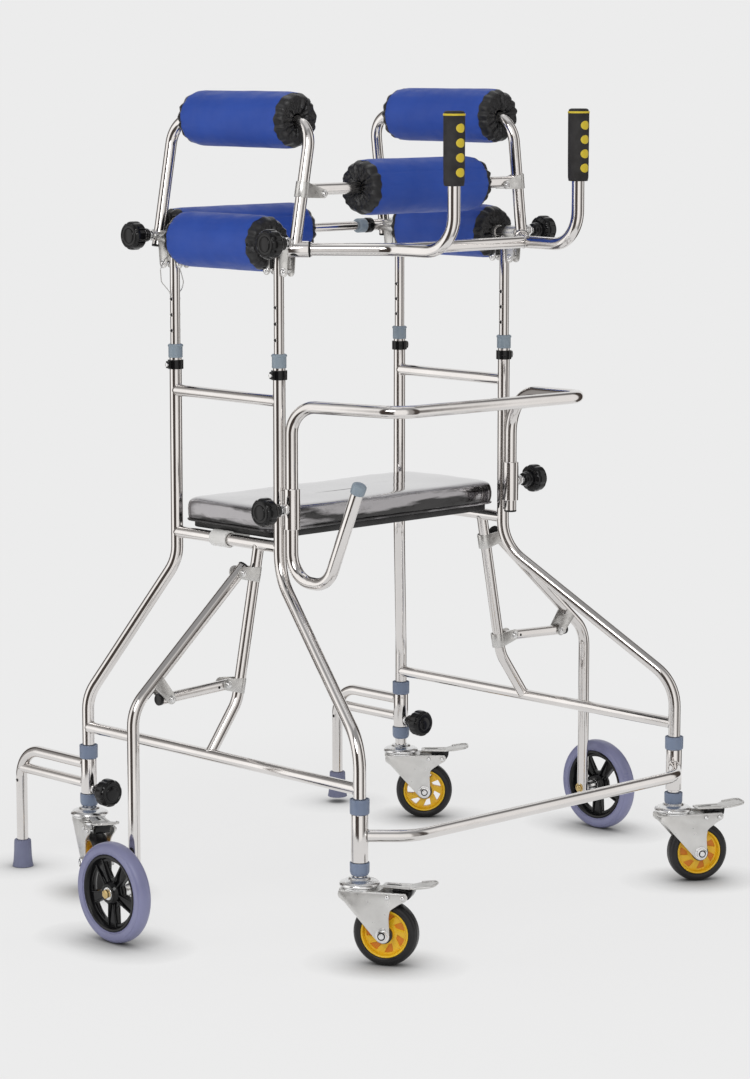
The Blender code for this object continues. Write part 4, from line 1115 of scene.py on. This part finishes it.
def caster_wheel(corner, stance):
    hub = stance @ Vector((CASTER_TRAIL, 0, CASTER_WHEEL_R))
    out = stance.to_3x3() @ Y
    rim = Piece(f"{corner}_caster_rim")
    band = mirrored([(0.0372, 0.0118), (0.0362, 0.0124), (0.0345, 0.0116), (0.033, 0.006)])
    rim.turned(band, 0.0006, YELLOW, out, hub, 64, True)
    boss = mirrored([(0.005, 0.014), (0.0095, 0.014), (0.0112, 0.0125), (0.0124, 0.006)])
    rim.turned(boss, 0.0008, YELLOW, out, hub, 40, True)
    outlines = [circle(0.034, 70), circle(0.01, 36)]
    for number in range(7):
        turn = 2 * math.pi * (number + 0.3) / 7
        outlines.append(window(0.0182, 0.0302, math.radians(13), turn, 0.002, math.radians(-13)))
    rim.pierced(outlines, 0.0048, YELLOW, seated(out, Z, hub), 0.0009)
    # On the front casters a darker orange disc inside the web closes the windows: painted shade in their
    # recesses
    if corner.endswith("front"):
        rim.ring(0.0326, 0.016, hub - out * 0.003, hub + out * 0.0006, YELLOW_PAINTED_SHADE, 0.0003, 64)
    for facing in (-out, out):
        rim.rod(0.0138, hub + facing * 0.0125, hub + facing * 0.0192, DULL_BLACK, 0.001)
        rim.rod(0.007, hub + facing * 0.012, hub + facing * 0.0156, BRIGHT)
    rim.finish(f"{corner}_wheel")
    profile = mirrored([
        (0.0372, -0.0124), (0.04, -0.0138), (0.0438, -0.014), (0.0472, -0.0118), (0.0492, -0.008),
        (CASTER_WHEEL_R, -0.004),
    ])
    beads = [(0.0494, -0.0068), (CASTER_WHEEL_R - 0.0004, 0.0), (0.0494, 0.0068)]
    tyre(
        f"{corner}_caster_tyre", f"{corner}_wheel",
        hub, out, profile, 0.0018, TYRE, 80, beads, 0.00045, 6,
    )


def casters():
    for corner, degrees in CASTER_TURN.items():
        word, end = corner.split("_")
        foot = at(SIDES[word], LEG_X, FRONT_LEG_Y if end == "front" else REAR_LEG_Y, 0)
        stance = Matrix.Translation(foot) @ Matrix.Rotation(math.radians(degrees - 90.0), 4, "Z")
        caster_fork(corner, stance)
        caster_brake(corner, stance)
        caster_wheel(corner, stance)


# Seat


def slab_outline(half_x, half_y, corner):
    """A rounded rectangle with points along its sides as well."""

    def rim(quarter, share):
        sign_x, sign_y = ((1, 1), (-1, 1), (-1, -1), (1, -1))[quarter % 4]
        across, up = polar(corner, math.radians(90) * (quarter + share))
        return Vector((sign_x * (half_x - corner) + across, sign_y * (half_y - corner) + up))

    outline = []
    for quarter in range(4):
        outline += [rim(quarter, step / 9) for step in range(10)]
        last, ahead = outline[-1], rim(quarter + 1, 0)
        count = SEAT_RUNS if quarter % 2 == 0 else SEAT_RUNS // 2
        outline += [last.lerp(ahead, step / count) for step in range(1, count)]
    return outline


def seat_pad():
    """The vinyl cushion: crowned, drawn down at its edge and creased there."""
    piece = Piece("seat_pad")
    low, high = PAD_Z
    # How far each ring stands in from the rim, and at which share of the pad's height
    shares = (
        (0.005, 0), (0.0012, 0.06), (0, 0.18), (-0.0004, 0.32), (-0.0004, 0.5), (0, 0.66), (0.001, 0.79),
        (0.0028, 0.88), (0.0056, 0.945), (0.0095, 0.98), (0.015, 0.994), (0.026, 0.999), (0.04, 1.001),
        (0.056, 1.003), (0.072, 1.004), (0.085, 1.005), (0.095, 1.006),
    )
    rings = []
    for inset, height in shares:
        ring = []
        corner = max(0.008, 0.024 - inset * 0.3)
        for x, y in slab_outline(SEAT_X + COVER_EASE - inset, SEAT_Y - inset, corner):
            edge = max(0.0, 1.0 - inset / 0.014)
            fold = noise.noise(Vector((x * 34, y * 34, height * 2.5)))
            broad = noise.noise(Vector((x * 9 + 5, y * 9, 1.7)))
            push = 0.0026 * fold * edge * min(1.0, height * 4) + 0.001 * broad * min(1.0, height * 1.5)
            outward = Vector((x / SEAT_X**2, y / SEAT_Y**2, 0)).normalized() * (1 - height) + Z * height
            ring.append(at(1, x, y, low + (high - low) * height) + outward * push)
        rings.append(ring)
    piece.skin(rings, VINYL)
    seam = slab_outline(SEAT_X + COVER_EASE - 0.0006, SEAT_Y - 0.0006, 0.0235)
    piece.sweep([at(1, x, y, low + 0.002) for x, y in seam], 0.0021, VINYL, 10, True)
    piece.finish("seat", 60.0)


def seat_board():
    piece = Piece("seat_board")
    outline = [(x, y + CENTRE_Y) for x, y in slab_outline(SEAT_X - 0.004, SEAT_Y - 0.005, 0.018)]
    piece.slab(outline, *BOARD_Z, DULL_BLACK, bevel=0.0016)
    # The clip round the left seat tube, and its block under the board
    x, z = -UPRIGHT_X, SEAT_TUBE_Z
    start, end = (at(1, x, SEAT_CLIP_Y + reach, z) for reach in (-0.019, 0.019))
    piece.ring(0.0136, 0.0102, start, end, WHITE, 0.0012)
    near = at(1, x + 0.01, SEAT_CLIP_Y - 0.0145, z - 0.011)
    far = at(1, x + 0.046, SEAT_CLIP_Y + 0.0145, BOARD_Z[0] + 0.001)
    piece.block(near, far, WHITE)
    for offset in (0.022, 0.037):
        piece.bolt(0.0034, -Z, at(1, x + offset, SEAT_CLIP_Y, z - 0.011))
    piece.finish("seat")


def guard_rail():
    piece = Piece("guard_rail")
    x = GUARD_X["left"]
    hook = [at(-1, x, y, z) for y, z in GUARD_HOOK]
    path = hook + [
        at(-1, x, GUARD_Y, GUARD_HEEL_Z),
        at(-1, x, GUARD_Y, GUARD_Z["left"]),
        at(-1, *GUARD_CORNER["left"]),
        at(1, *GUARD_CORNER["right"]),
        at(1, GUARD_X["right"], GUARD_Y, GUARD_Z["right"]),
        at(1, GUARD_X["right"], GUARD_Y, GUARD_END_Z),
    ]
    piece.tube(path, LEG_R, STEEL, GUARD_BEND)
    plug = [(0, -0.006), (0.0114, -0.006), (0.0118, 0.004), (0.0112, 0.0085), (0.0085, 0.0102), (0, 0.0104)]
    piece.turned(plug, 0.0012, BUSH, hook[0] - hook[1], hook[0])
    piece.cap(LEG_R + 0.0003, path[-1], -Z, proud=0.0025)
    piece.finish("guard_rail")


# Arm rests


def hoop_point(word, y, z):
    """A point of the leaning hoop at this height."""
    share = (z - BACK_Z) / (HOOP_TOP_Z - BACK_Z)
    return at(SIDES[word], UPRIGHT_X + (HOOP_TOP_X[word] - UPRIGHT_X) * share, y, z)


def hoop(word, side):
    piece = Piece(f"{word}_underarm_hoop")
    front = [hoop_point(word, -HOOP_Y, z) for z in (HOOP_FOOT_Z, HOOP_TOP_Z)]
    rear = [hoop_point(word, HOOP_Y, z) for z in (HOOP_FOOT_Z, HOOP_TOP_Z)]
    piece.tube([*front, *reversed(rear)], RAIL_R, STEEL, HOOP_BEND)
    for foot, top in (front, rear):
        piece.cap(RAIL_R + 0.0004, foot, (foot - top).normalized())
    for y in (-HOOP_Y, HOOP_Y):
        nut = at(side, UPRIGHT_X + RAIL_R - 0.0012, y, ARM_NUT_Z)
        piece.rod(0.0066, nut, nut + X * side * 0.0014, BRIGHT, 0.0004)
    piece.finish("upper_frame")


def wire_clip(piece, side):
    """The wire clip that hangs beside a rear tube."""
    front = [
        (0.2605, 1.042), (0.2724, 1.0349), (0.2823, 1.0194), (0.2804, 0.9985), (0.2641, 0.9826),
        (0.2598, 0.9735),
    ]
    rear = [(0.244, 1.024), (0.2382, 1.0099), (0.2337, 0.9962), (0.2372, 0.9857), (0.243, 0.98)]
    for path in (front, rear):
        piece.sweep(arced([at(side, x, UPRIGHT_Y, z) for x, z in path], 0.01), 0.0008, STRAP, 10)


def rack(word, side):
    piece = Piece(f"{word}_upper_rack")
    ends = [at(side, UPRIGHT_X, y, ARM_Z) for y in (-HOOP_Y, HOOP_Y)]
    piece.tube([ends[0] + Y * TUBE_INSET, ends[1] - Y * TUBE_INSET], RAIL_R)
    for end, out in zip(ends, (Y, -Y)):
        piece.weld(end, Z, RAIL_R, out, RAIL_R)
    for sign in (-1, 1):
        y = sign * UPRIGHT_Y
        piece.rod(INNER_R, at(side, UPRIGHT_X, y, INNER_FOOT_Z), at(side, UPRIGHT_X, y, ARM_Z - 0.006))
        for number in range(HOLES):
            hole = at(side, UPRIGHT_X, y, FIRST_HOLE_Z + HOLE_PITCH * number)
            for out in (-X, X):
                piece.bore(hole + out * (INNER_R - 0.001), out, 0.0007, 0.0013)
        straps = ((0.144, STRAP_WIDE, 0.0495, 0.041), (0.1045, 0.015, 0.048, 0.0405))
        for along, wide, reach, bolt_at in straps:
            piece.strap(Y, at(side, UPRIGHT_X, sign * along, ARM_Z), RAIL_R, wide, -Z, reach, 0.0066, bolt_at)
    if word == "left":
        wire_clip(piece, side)
    piece.finish("upper_frame")


def ripple(scale, angle, height):
    """A smooth noise round an axis, between -1 and 1."""
    return noise.noise(Vector((*polar(scale, angle), height)))


def roller(node_name, start, end, bar_r, seed, near=0.0, far=0.0):
    """A padded roller: a blue cloth barrel with soft rims and black ends gathered round the tube."""
    chance = random.Random(seed)
    axis = (end - start).normalized()
    start, end = start - axis * near, end + axis * far
    matrix = seated(axis, Z, start)
    long = (end - start).length
    edges = sorted((k + chance.uniform(-0.33, 0.33)) / ROLLER_PLEATS for k in range(ROLLER_PLEATS))
    depth = [chance.uniform(0.45, 1.0) for _ in range(ROLLER_PLEATS)]
    turns = [(k / ROLLER_STEPS, 2 * math.pi * k / ROLLER_STEPS) for k in range(ROLLER_STEPS)]

    def pleat(share):
        """How far a point of the gathered end stands out of the valleys beside it, from 0 to 1."""
        share %= 1.0
        for k, low in enumerate(edges):
            high = edges[k + 1] if k + 1 < ROLLER_PLEATS else edges[0] + 1.0
            inside = share if share >= low else share + 1.0
            if low <= inside < high:
                across = (inside - low) / (high - low)
                return depth[k] * (1.0 - abs(2 * across - 1.0) ** 1.15)
        return 0.0

    def barrel(share, angle, along):
        """The barrel's radius: full, a little uneven, with two creases along it."""
        height = along * 7.0 + seed
        wave = 0.0007 * ripple(1.5, angle, height) + 0.0004 * ripple(4.65, angle, height * 3.1)
        crease = 0.0
        for k, (seam, deep) in enumerate(((0.155, 0.0011), (0.235, 0.0006))):
            drift = 0.006 * noise.noise(Vector((along * 8.0, seed + k, 0.3)))
            gap = abs((share - seam - drift + 0.5) % 1.0 - 0.5) * 2 * math.pi * ROLLER_R
            crease += math.exp(-((gap / 0.0016) ** 2)) * deep
        return ROLLER_R - 0.0006 + wave - crease

    def end_ring(sign, face, reach):
        """A ring of one end, at this share of the way from the tube out to the rim."""
        radius = bar_r + 0.0006 + (0.0436 - bar_r - 0.0006) * reach
        swell, droop = min(1.0, reach / 0.3) ** 0.6, max(0.0, (reach - 0.7) / 0.3) ** 2.2
        crown = -0.0028 + 0.0058 * swell - 0.012 * droop
        fold = min(1.0, reach / 0.1) * (1.0 - 0.55 * reach)
        ring = []
        for share, angle in turns:
            lift = pleat(share + 0.012 * ripple(2.2, angle, reach * 3.0 + seed))
            crumple = 1.0 - 2.0 * abs(ripple(4.0, angle, reach * 5.0 + seed * 2.3))
            fine = ripple(11.0, angle, reach * 2.0 + seed)
            rise = fold * (0.0058 * (lift - 0.5) + 0.002 * (crumple - 0.5) + 0.0012 * fine)
            wide = radius - 0.003 * max(0.0, (reach - 0.55) / 0.45) * (1.0 - lift)
            ring.append(matrix @ Vector((*polar(wide, angle), face + sign * (crown + rise))))
        return ring

    def barrel_ring(part):
        """A ring of the barrel, at this share of its length."""
        ring = []
        for share, angle in turns:
            # The black cloth laps over the barrel by an uneven width
            lap = ROLLER_LAP + 0.0022 * ripple(2.5, angle, seed * 1.7) + 0.0016 * (pleat(share) - 0.5)
            along = lap + (long - 2 * lap) * part
            drawn = max(0.0, 1.0 - (min(along, long - along) - lap) / 0.016)
            radius = barrel(share, angle, along) - 0.0022 * drawn**2 * (1.0 - pleat(share)) - 0.0004 * drawn
            ring.append(matrix @ Vector((*polar(radius, angle), along)))
        return ring

    piece = Piece(node_name)
    shares = [step / ROLLER_END_RINGS for step in range(ROLLER_END_RINGS + 1)]
    low_end = [end_ring(-1, 0.0, share) for share in shares]
    high_end = [end_ring(1, long, share) for share in shares]
    body = [barrel_ring(step / ROLLER_RINGS) for step in range(ROLLER_RINGS + 1)]
    for rings, cloth in (
        (low_end, BLACK_CLOTH),
        ([low_end[-1], body[0]], BLACK_CLOTH),
        (body, BLUE),
        ([body[-1], high_end[-1]], BLACK_CLOTH),
        (high_end, BLACK_CLOTH),
    ):
        piece.skin(rings, cloth, caps=False)
    bmesh.ops.remove_doubles(piece.mesh, verts=piece.mesh.verts, dist=0.000001)
    piece.finish("upper_frame", 75.0)


def rollers():
    for word, side in SIDES.items():
        ends = [at(side, HOOP_TOP_X[word], y, HOOP_TOP_Z) for y in TOP_ROLLER_Y]
        roller(f"{word}_underarm_roller", *ends, RAIL_R, 3 + side, *TOP_ROLLER_SHIFT[word])
        ends = [at(side, UPRIGHT_X, y, ARM_Z) for y in SIDE_ROLLER_Y]
        roller(f"{word}_side_roller", *ends, RAIL_R, 7 + side, SIDE_ROLLER_SHIFT)
    roller("chest_roller", *(at(1, x, -HOOP_Y, CHEST_Z) for x in CHEST_ROLLER_X), RAIL_R, 11)
    roller("back_roller", *(at(1, x, HOOP_Y, BACK_Z) for x in BACK_ROLLER_X), BACK_BAR_R, 13)


def chest_bar():
    piece = Piece("chest_bar")
    ends = [hoop_point(word, -HOOP_Y, CHEST_Z) for word in SIDES]
    piece.tube([ends[0] + X * 0.012, ends[1] - X * 0.012], RAIL_R)
    for (word, side), middle in zip(SIDES.items(), ends):
        lean = hoop_point(word, -HOOP_Y, CHEST_Z + 0.01) - middle
        piece.strap(lean, middle, RAIL_R + 0.0003, STRAP_WIDE, X * -side, 0.0435, 0.0096, 0.0365)
    piece.finish("upper_frame")


def back_bar():
    """A thin bar that slides in a sleeve, with the sleeve's bush and band."""
    piece = Piece("back_bar")
    start, end = (at(side, UPRIGHT_X, HOOP_Y, BACK_Z) for side in (-1, 1))
    mouth = at(1, BACK_SLEEVE_X, HOOP_Y, BACK_Z)
    piece.rod(BACK_BAR_R, start + X * TUBE_INSET, mouth + X * 0.01)
    piece.rod(BACK_SLEEVE_R, mouth, end - X * TUBE_INSET)
    piece.rod(0.0122, mouth - X * 0.004, mouth + X * 0.012, BUSH, 0.0015)
    piece.ring(0.0128, 0.0095, mouth + X * 0.016, mouth + X * 0.027, BLACK, 0.0012)
    piece.weld(start, (0.18, 0, 1), RAIL_R, X, BACK_BAR_R)
    piece.weld(end, (-0.12, 0, 1), RAIL_R, -X, BACK_SLEEVE_R)
    piece.finish("upper_frame")


def handle_frame():
    piece = Piece("handle_frame")
    x, y = HANDLE_INNER
    for side in (-1, 1):
        start, inner = at(side, UPRIGHT_X, -HOOP_Y, HANDLE_Z), at(side, x, y, HANDLE_Z)
        run = (inner - start).normalized()
        post = [at(side, *HANDLE_POST, z) for z in (HANDLE_Z, GRIP_Z[1] - 0.014)]
        piece.tube([start + run * 0.006, inner, *post], LEG_R, STEEL, 0.055)
        piece.rod(0.0128, start - run * 0.011, start + run * 0.0215, STEEL, 0.0018)
        # The clamp's mouth: a ring of painted shadow in its gap, then a narrower steel ring
        low, middle, high = (start + run * reach for reach in (0.0213, 0.0236, 0.0262))
        piece.ring(0.0123, LEG_R - 0.0002, low, middle, SHADOW, 0.0004)
        piece.ring(0.0114, LEG_R - 0.0002, middle, high, STEEL, 0.0008)
        piece.weld(inner, (0.1 * side, 1, 0), LEG_R, X * -side, RAIL_R)
    piece.tube([at(side, x - TUBE_INSET, y, HANDLE_Z) for side in (-1, 1)], RAIL_R)
    piece.finish("upper_frame")


def grip_dot(piece, foot, height):
    """A flat raised dot on the grip's front."""
    rings = []
    for share, lift in ((0.0, 0.0007), (0.45, 0.0007), (0.8, 0.0006), (0.95, 0.0003), (1.0, -0.0006)):
        ring = []
        for across, up in circle(share, 36 if share else 1):
            reach = polar(GRIP_R + lift, GRIP_FACING + 0.0086 * across / GRIP_R)
            ring.append(foot + Vector((*reach, height + 0.0072 * up)))
        rings.append(ring)
    piece.skin(rings, YELLOW_DOT, caps=False)


def grip(word, side):
    """The foam hand grip with its ring and its four dots."""
    piece = Piece(f"{word}_grip")
    low, high = GRIP_Z
    foot = at(side, *HANDLE_POST, 0)
    tall = [
        (LEG_R, low + 0.004), (LEG_R, low), (GRIP_R - 0.0014, low), (GRIP_R - 0.0003, low + 0.006),
        (GRIP_R, low + 0.03), (GRIP_R + 0.0002, high - 0.012), (GRIP_R + 0.0002, high - 0.0072),
    ]
    piece.turned(tall, 0.0012, FOAM, Z, foot, 64)
    band = [
        (GRIP_R - 0.001, high - 0.0074), (GRIP_R + 0.0007, high - 0.0072), (GRIP_R + 0.0007, high - 0.0042),
        (GRIP_R - 0.001, high - 0.004),
    ]
    piece.turned(band, 0.0006, YELLOW_DOT, Z, foot, 64, True)
    top = [
        (GRIP_R - 0.0006, high - 0.0048), (GRIP_R - 0.001, high - 0.0016), (GRIP_R - 0.004, high),
        (0.007, high - 0.0003), (0.006, high - 0.002), (0, high - 0.0022),
    ]
    piece.turned(top, 0.001, FOAM, Z, foot, 64)
    for number in range(4):
        grip_dot(piece, foot, DOT_Z - DOT_PITCH * number)
    piece.finish("upper_frame")


# Knobs


def lobed(angle):
    """Shallow hollows round a knob's rim."""
    return 1.0 - 0.05 * max(0.0, -math.cos(KNOB_LOBES * angle)) ** 2.0


def knob(name, point, axis, stem=KNOB_STEM):
    """A clamping knob on a bright stem: a scalloped rim and a round face with a raised ring."""
    piece = Piece(name)
    piece.rod(0.0048, point, point + axis * (stem + 0.003), BRIGHT, 0.0004)
    for k in range(int(stem / THREAD_PITCH)):
        thread = point + axis * (0.001 + THREAD_PITCH * k)
        piece.ring(0.0051, 0.004, thread, thread + axis * THREAD_PITCH / 2, BRIGHT, 0.0002, 24)
    if stem > 0.012:
        piece.hexagon(0.0092, 0.0066, axis, point + axis * 0.003)
    base = point + axis * stem
    neck = [
        (0, -0.0022), (0.01, -0.0022), (0.0108, -0.0012), (0.011, 0.003), (0.012, 0.004), (0.0126, 0.006),
        (0.0132, 0.015), (0, 0.015),
    ]
    piece.turned(neck, 0.0009, BLACK, axis, base)
    high = KNOB_REACH - 0.013
    rim = [
        (0, 0.013), (KNOB_R - 0.0075, 0.013), (KNOB_R - 0.0016, 0.016), (KNOB_R, 0.0195),
        (KNOB_R, high - 0.0065), (KNOB_R - 0.001, high - 0.003), (KNOB_R - 0.0032, high - 0.0008),
    ]
    piece.lathe(eased(rim, 0.0016), BLACK, axis, base, 128, lobe=lobed)
    face = [
        (KNOB_R - 0.003, high - 0.003), (KNOB_R - 0.0034, high - 0.0004), (KNOB_R - 0.005, high + 0.0006),
        (KNOB_R - 0.0064, high + 0.0002), (KNOB_R - 0.0074, high - 0.0014), (0.0128, high - 0.0018),
        (0.012, high + 0.0002), (0.0108, high + 0.0009), (0.006, high + 0.0014), (0, high + 0.0015),
    ]
    piece.turned(face, 0.0007, BLACK, axis, base, 96)
    piece.finish(name, 45.0)


def knobs():
    for word, side in SIDES.items():
        out = X * side
        for end, y in (("front", -HOOP_Y), ("rear", HOOP_Y)):
            knob(f"{word}_{end}_arm_knob", at(side, UPRIGHT_X + RAIL_R, y, ARM_NUT_Z), out)
        middle = sum(GUARD_SLEEVE_Z) / 2
        knob(f"{word}_guard_knob", at(side, GUARD_X[word] + GUARD_SLEEVE_R, GUARD_Y, middle), out)
        boss = at(side, LEG_X, REAR_LEG_Y - SLEEVE_R - FOOT_BOSS, FOOT_KNOB_Z[word])
        knob(f"{word}_foot_knob", boss, -Y, FOOT_KNOB_STEM - FOOT_BOSS)


# Picture


def camera():
    data = bpy.data.cameras.new("camera")
    data.sensor_fit = "AUTO"
    data.sensor_width = 36.0
    data.lens = CAMERA_LENS
    data.clip_end = 200.0
    look, right = Vector(CAMERA_LOOK).normalized(), Vector(CAMERA_RIGHT).normalized()
    turn = Matrix((right, right.cross(look), -look)).transposed()
    obj = put("camera", data)
    obj.matrix_world = Matrix.Translation(CAMERA_PLACE) @ turn.to_4x4()
    bpy.context.scene.camera = obj


def picked(tree, choice, one, two):
    """One of two shaders, by the choice."""
    mix = tree.nodes.new("ShaderNodeMixShader")
    for number, value in enumerate((choice, one, two)):
        tree.links.new(value, mix.inputs[number])
    return mix.outputs[0]


def floor():
    """A round pale floor that keeps the shadows near the frame and fades into the backdrop at its edge. Its
    glow is dimmed by occlusion near the parts, a painted contact shadow beside the real shadows in its
    diffuse part.
    """
    mesh = bpy.data.meshes.new("floor")
    around = [(x, y, 0) for x, y in circle(FLOOR_R, 96)]
    mesh.from_pydata(around, [], [tuple(range(96))])
    white = (1.0, 1.0, 1.0, 1.0)
    glow = {"Specular IOR Level": 0.0, "Emission Color": white}
    made, tree, shader = principled("floor", (FLOOR_SHADE,) * 3, 0.9, **glow)
    # Painted contact shadow: the floor's glow is dimmed by ambient occlusion close to the wheels and feet
    near = node(tree, "ShaderNodeAmbientOcclusion", Distance=0.09)
    near.samples = 16
    strength = arithmetic(tree, "MULTIPLY", arithmetic(tree, "POWER", near.outputs["AO"], 2.2), FLOOR_GLOW)
    feed(tree, shader, Emission_Strength=strength)
    plain = node(tree, "ShaderNodeEmission", Color=(*(BACKDROP,) * 3, 1.0), Strength=1.0)
    where = tree.nodes.new("ShaderNodeTexCoord")
    length = tree.nodes.new("ShaderNodeVectorMath")
    length.operation = "LENGTH"
    tree.links.new(where.outputs["Object"], length.inputs[0])
    away = spread(tree, length.outputs["Value"], 0.0, 1.0, FLOOR_PLAIN_R, FLOOR_R - 0.05)
    surface = picked(tree, away, shader.outputs[0], plain.outputs[0])
    feed(tree, tree.nodes["Material Output"], Surface=surface)
    mesh.materials.append(made)
    put("floor", mesh)


def flags(tree, share):
    """The studio's colour by the share of a turn round the frame. Its flags draw the bands on the steel."""
    stops = (
        (-180, BACKDROP), (-152, BACKDROP), (-148, 0.04), (-126, 0.04), (-119, 0.3), (-104, 0.34),
        (-97, 1.18), (-62, 1.18), (-55, 0.04), (-12, 0.06), (-5, 1.05), (34, 1.0), (43, 0.38), (58, 0.32),
        (64, 0.06), (80, 0.08), (86, 0.95), (108, 0.9), (117, 0.05), (148, 0.04), (152, BACKDROP),
        (180, BACKDROP),
    )
    ramp = tree.nodes.new("ShaderNodeValToRGB")
    elements = ramp.color_ramp.elements
    while len(elements) < len(stops):
        elements.new(0.5)
    for element, (degrees, level) in zip(elements, stops):
        element.position = (degrees + 180) / 360
        element.color = (level + 0.022, level * 0.995 + 0.01, level * 0.985 + 0.004, 1.0)
    feed(tree, ramp, Fac=share)
    return ramp.outputs["Color"]


def sky():
    """Plain backdrop to the camera and to metal behind the frame; to everything else a soft studio."""
    world = bpy.data.worlds.new("studio")
    bpy.context.scene.world = world
    world.use_nodes = True
    tree = world.node_tree
    tree.nodes.clear()
    place = parted(tree, "Generated")
    # The share of a turn to the right of the camera as seen from the frame, where 0.5 is the camera itself
    azimuth = arithmetic(tree, "ARCTAN2", place["Y"], place["X"])
    turn = arithmetic(tree, "SUBTRACT", azimuth, math.atan2(-CAMERA_RIGHT[0], CAMERA_RIGHT[1]))
    share = arithmetic(tree, "ADD", arithmetic(tree, "DIVIDE", turn, 2 * math.pi), 1.5)
    share = arithmetic(tree, "FRACT", share)
    # The flags stand on the horizon; overhead is an even soft light
    mix = tree.nodes.new("ShaderNodeMix")
    mix.data_type = "RGBA"
    mix.inputs["B"].default_value = (0.34, 0.34, 0.345, 1.0)
    overhead = spread(tree, arithmetic(tree, "ABSOLUTE", place["Z"]), 0.0, 1.0, 0.55, 0.85)
    feed(tree, mix, Factor=overhead, A=flags(tree, share))
    studio_light = node(tree, "ShaderNodeBackground", Strength=1.0)
    feed(tree, studio_light, Color=mix.outputs["Result"])
    plain = node(tree, "ShaderNodeBackground", Color=(*(BACKDROP,) * 3, 1.0), Strength=1.0)
    path = tree.nodes.new("ShaderNodeLightPath").outputs
    away = arithmetic(tree, "ABSOLUTE", arithmetic(tree, "SUBTRACT", share, 0.5))
    behind = arithmetic(tree, "GREATER_THAN", away, 0.422)
    bounced = arithmetic(tree, "MAXIMUM", path["Is Glossy Ray"], path["Is Transmission Ray"])
    seen = arithmetic(tree, "MAXIMUM", path["Is Camera Ray"], arithmetic(tree, "MULTIPLY", bounced, behind))
    output = tree.nodes.new("ShaderNodeOutputWorld")
    feed(tree, output, Surface=picked(tree, seen, studio_light.outputs[0], plain.outputs[0]))


def lamp(name, place, target, size, power):
    data = bpy.data.lights.new(name, "AREA")
    data.shape = "RECTANGLE"
    data.size = data.size_y = size
    data.energy = power
    put(name, data).matrix_world = placed(Vector(place) - Vector(target), place)


def studio():
    bpy.context.scene.view_settings.view_transform = "Standard"
    camera()
    floor()
    sky()
    lamp("key", (-3.2, -1.6, 2.6), (0, 0, 0.8), 1.6, 40.0)
    lamp("top", (0.2, 0.2, 3.4), (0, 0, 0), 2.6, 7.0)


def build():
    for word, side in SIDES.items():
        front_leg(word, side)
        rear_leg(word, side)
        side_rail(word, side)
        foot_bar(word, side)
        foot_tip(word, side)
        outrigger(word, side)
        outrigger_wheel(word, side)
        hoop(word, side)
        rack(word, side)
        grip(word, side)
    bow_bar()
    casters()
    seat_pad()
    seat_board()
    guard_rail()
    rollers()
    chest_bar()
    back_bar()
    handle_frame()
    knobs()


build()
studio()
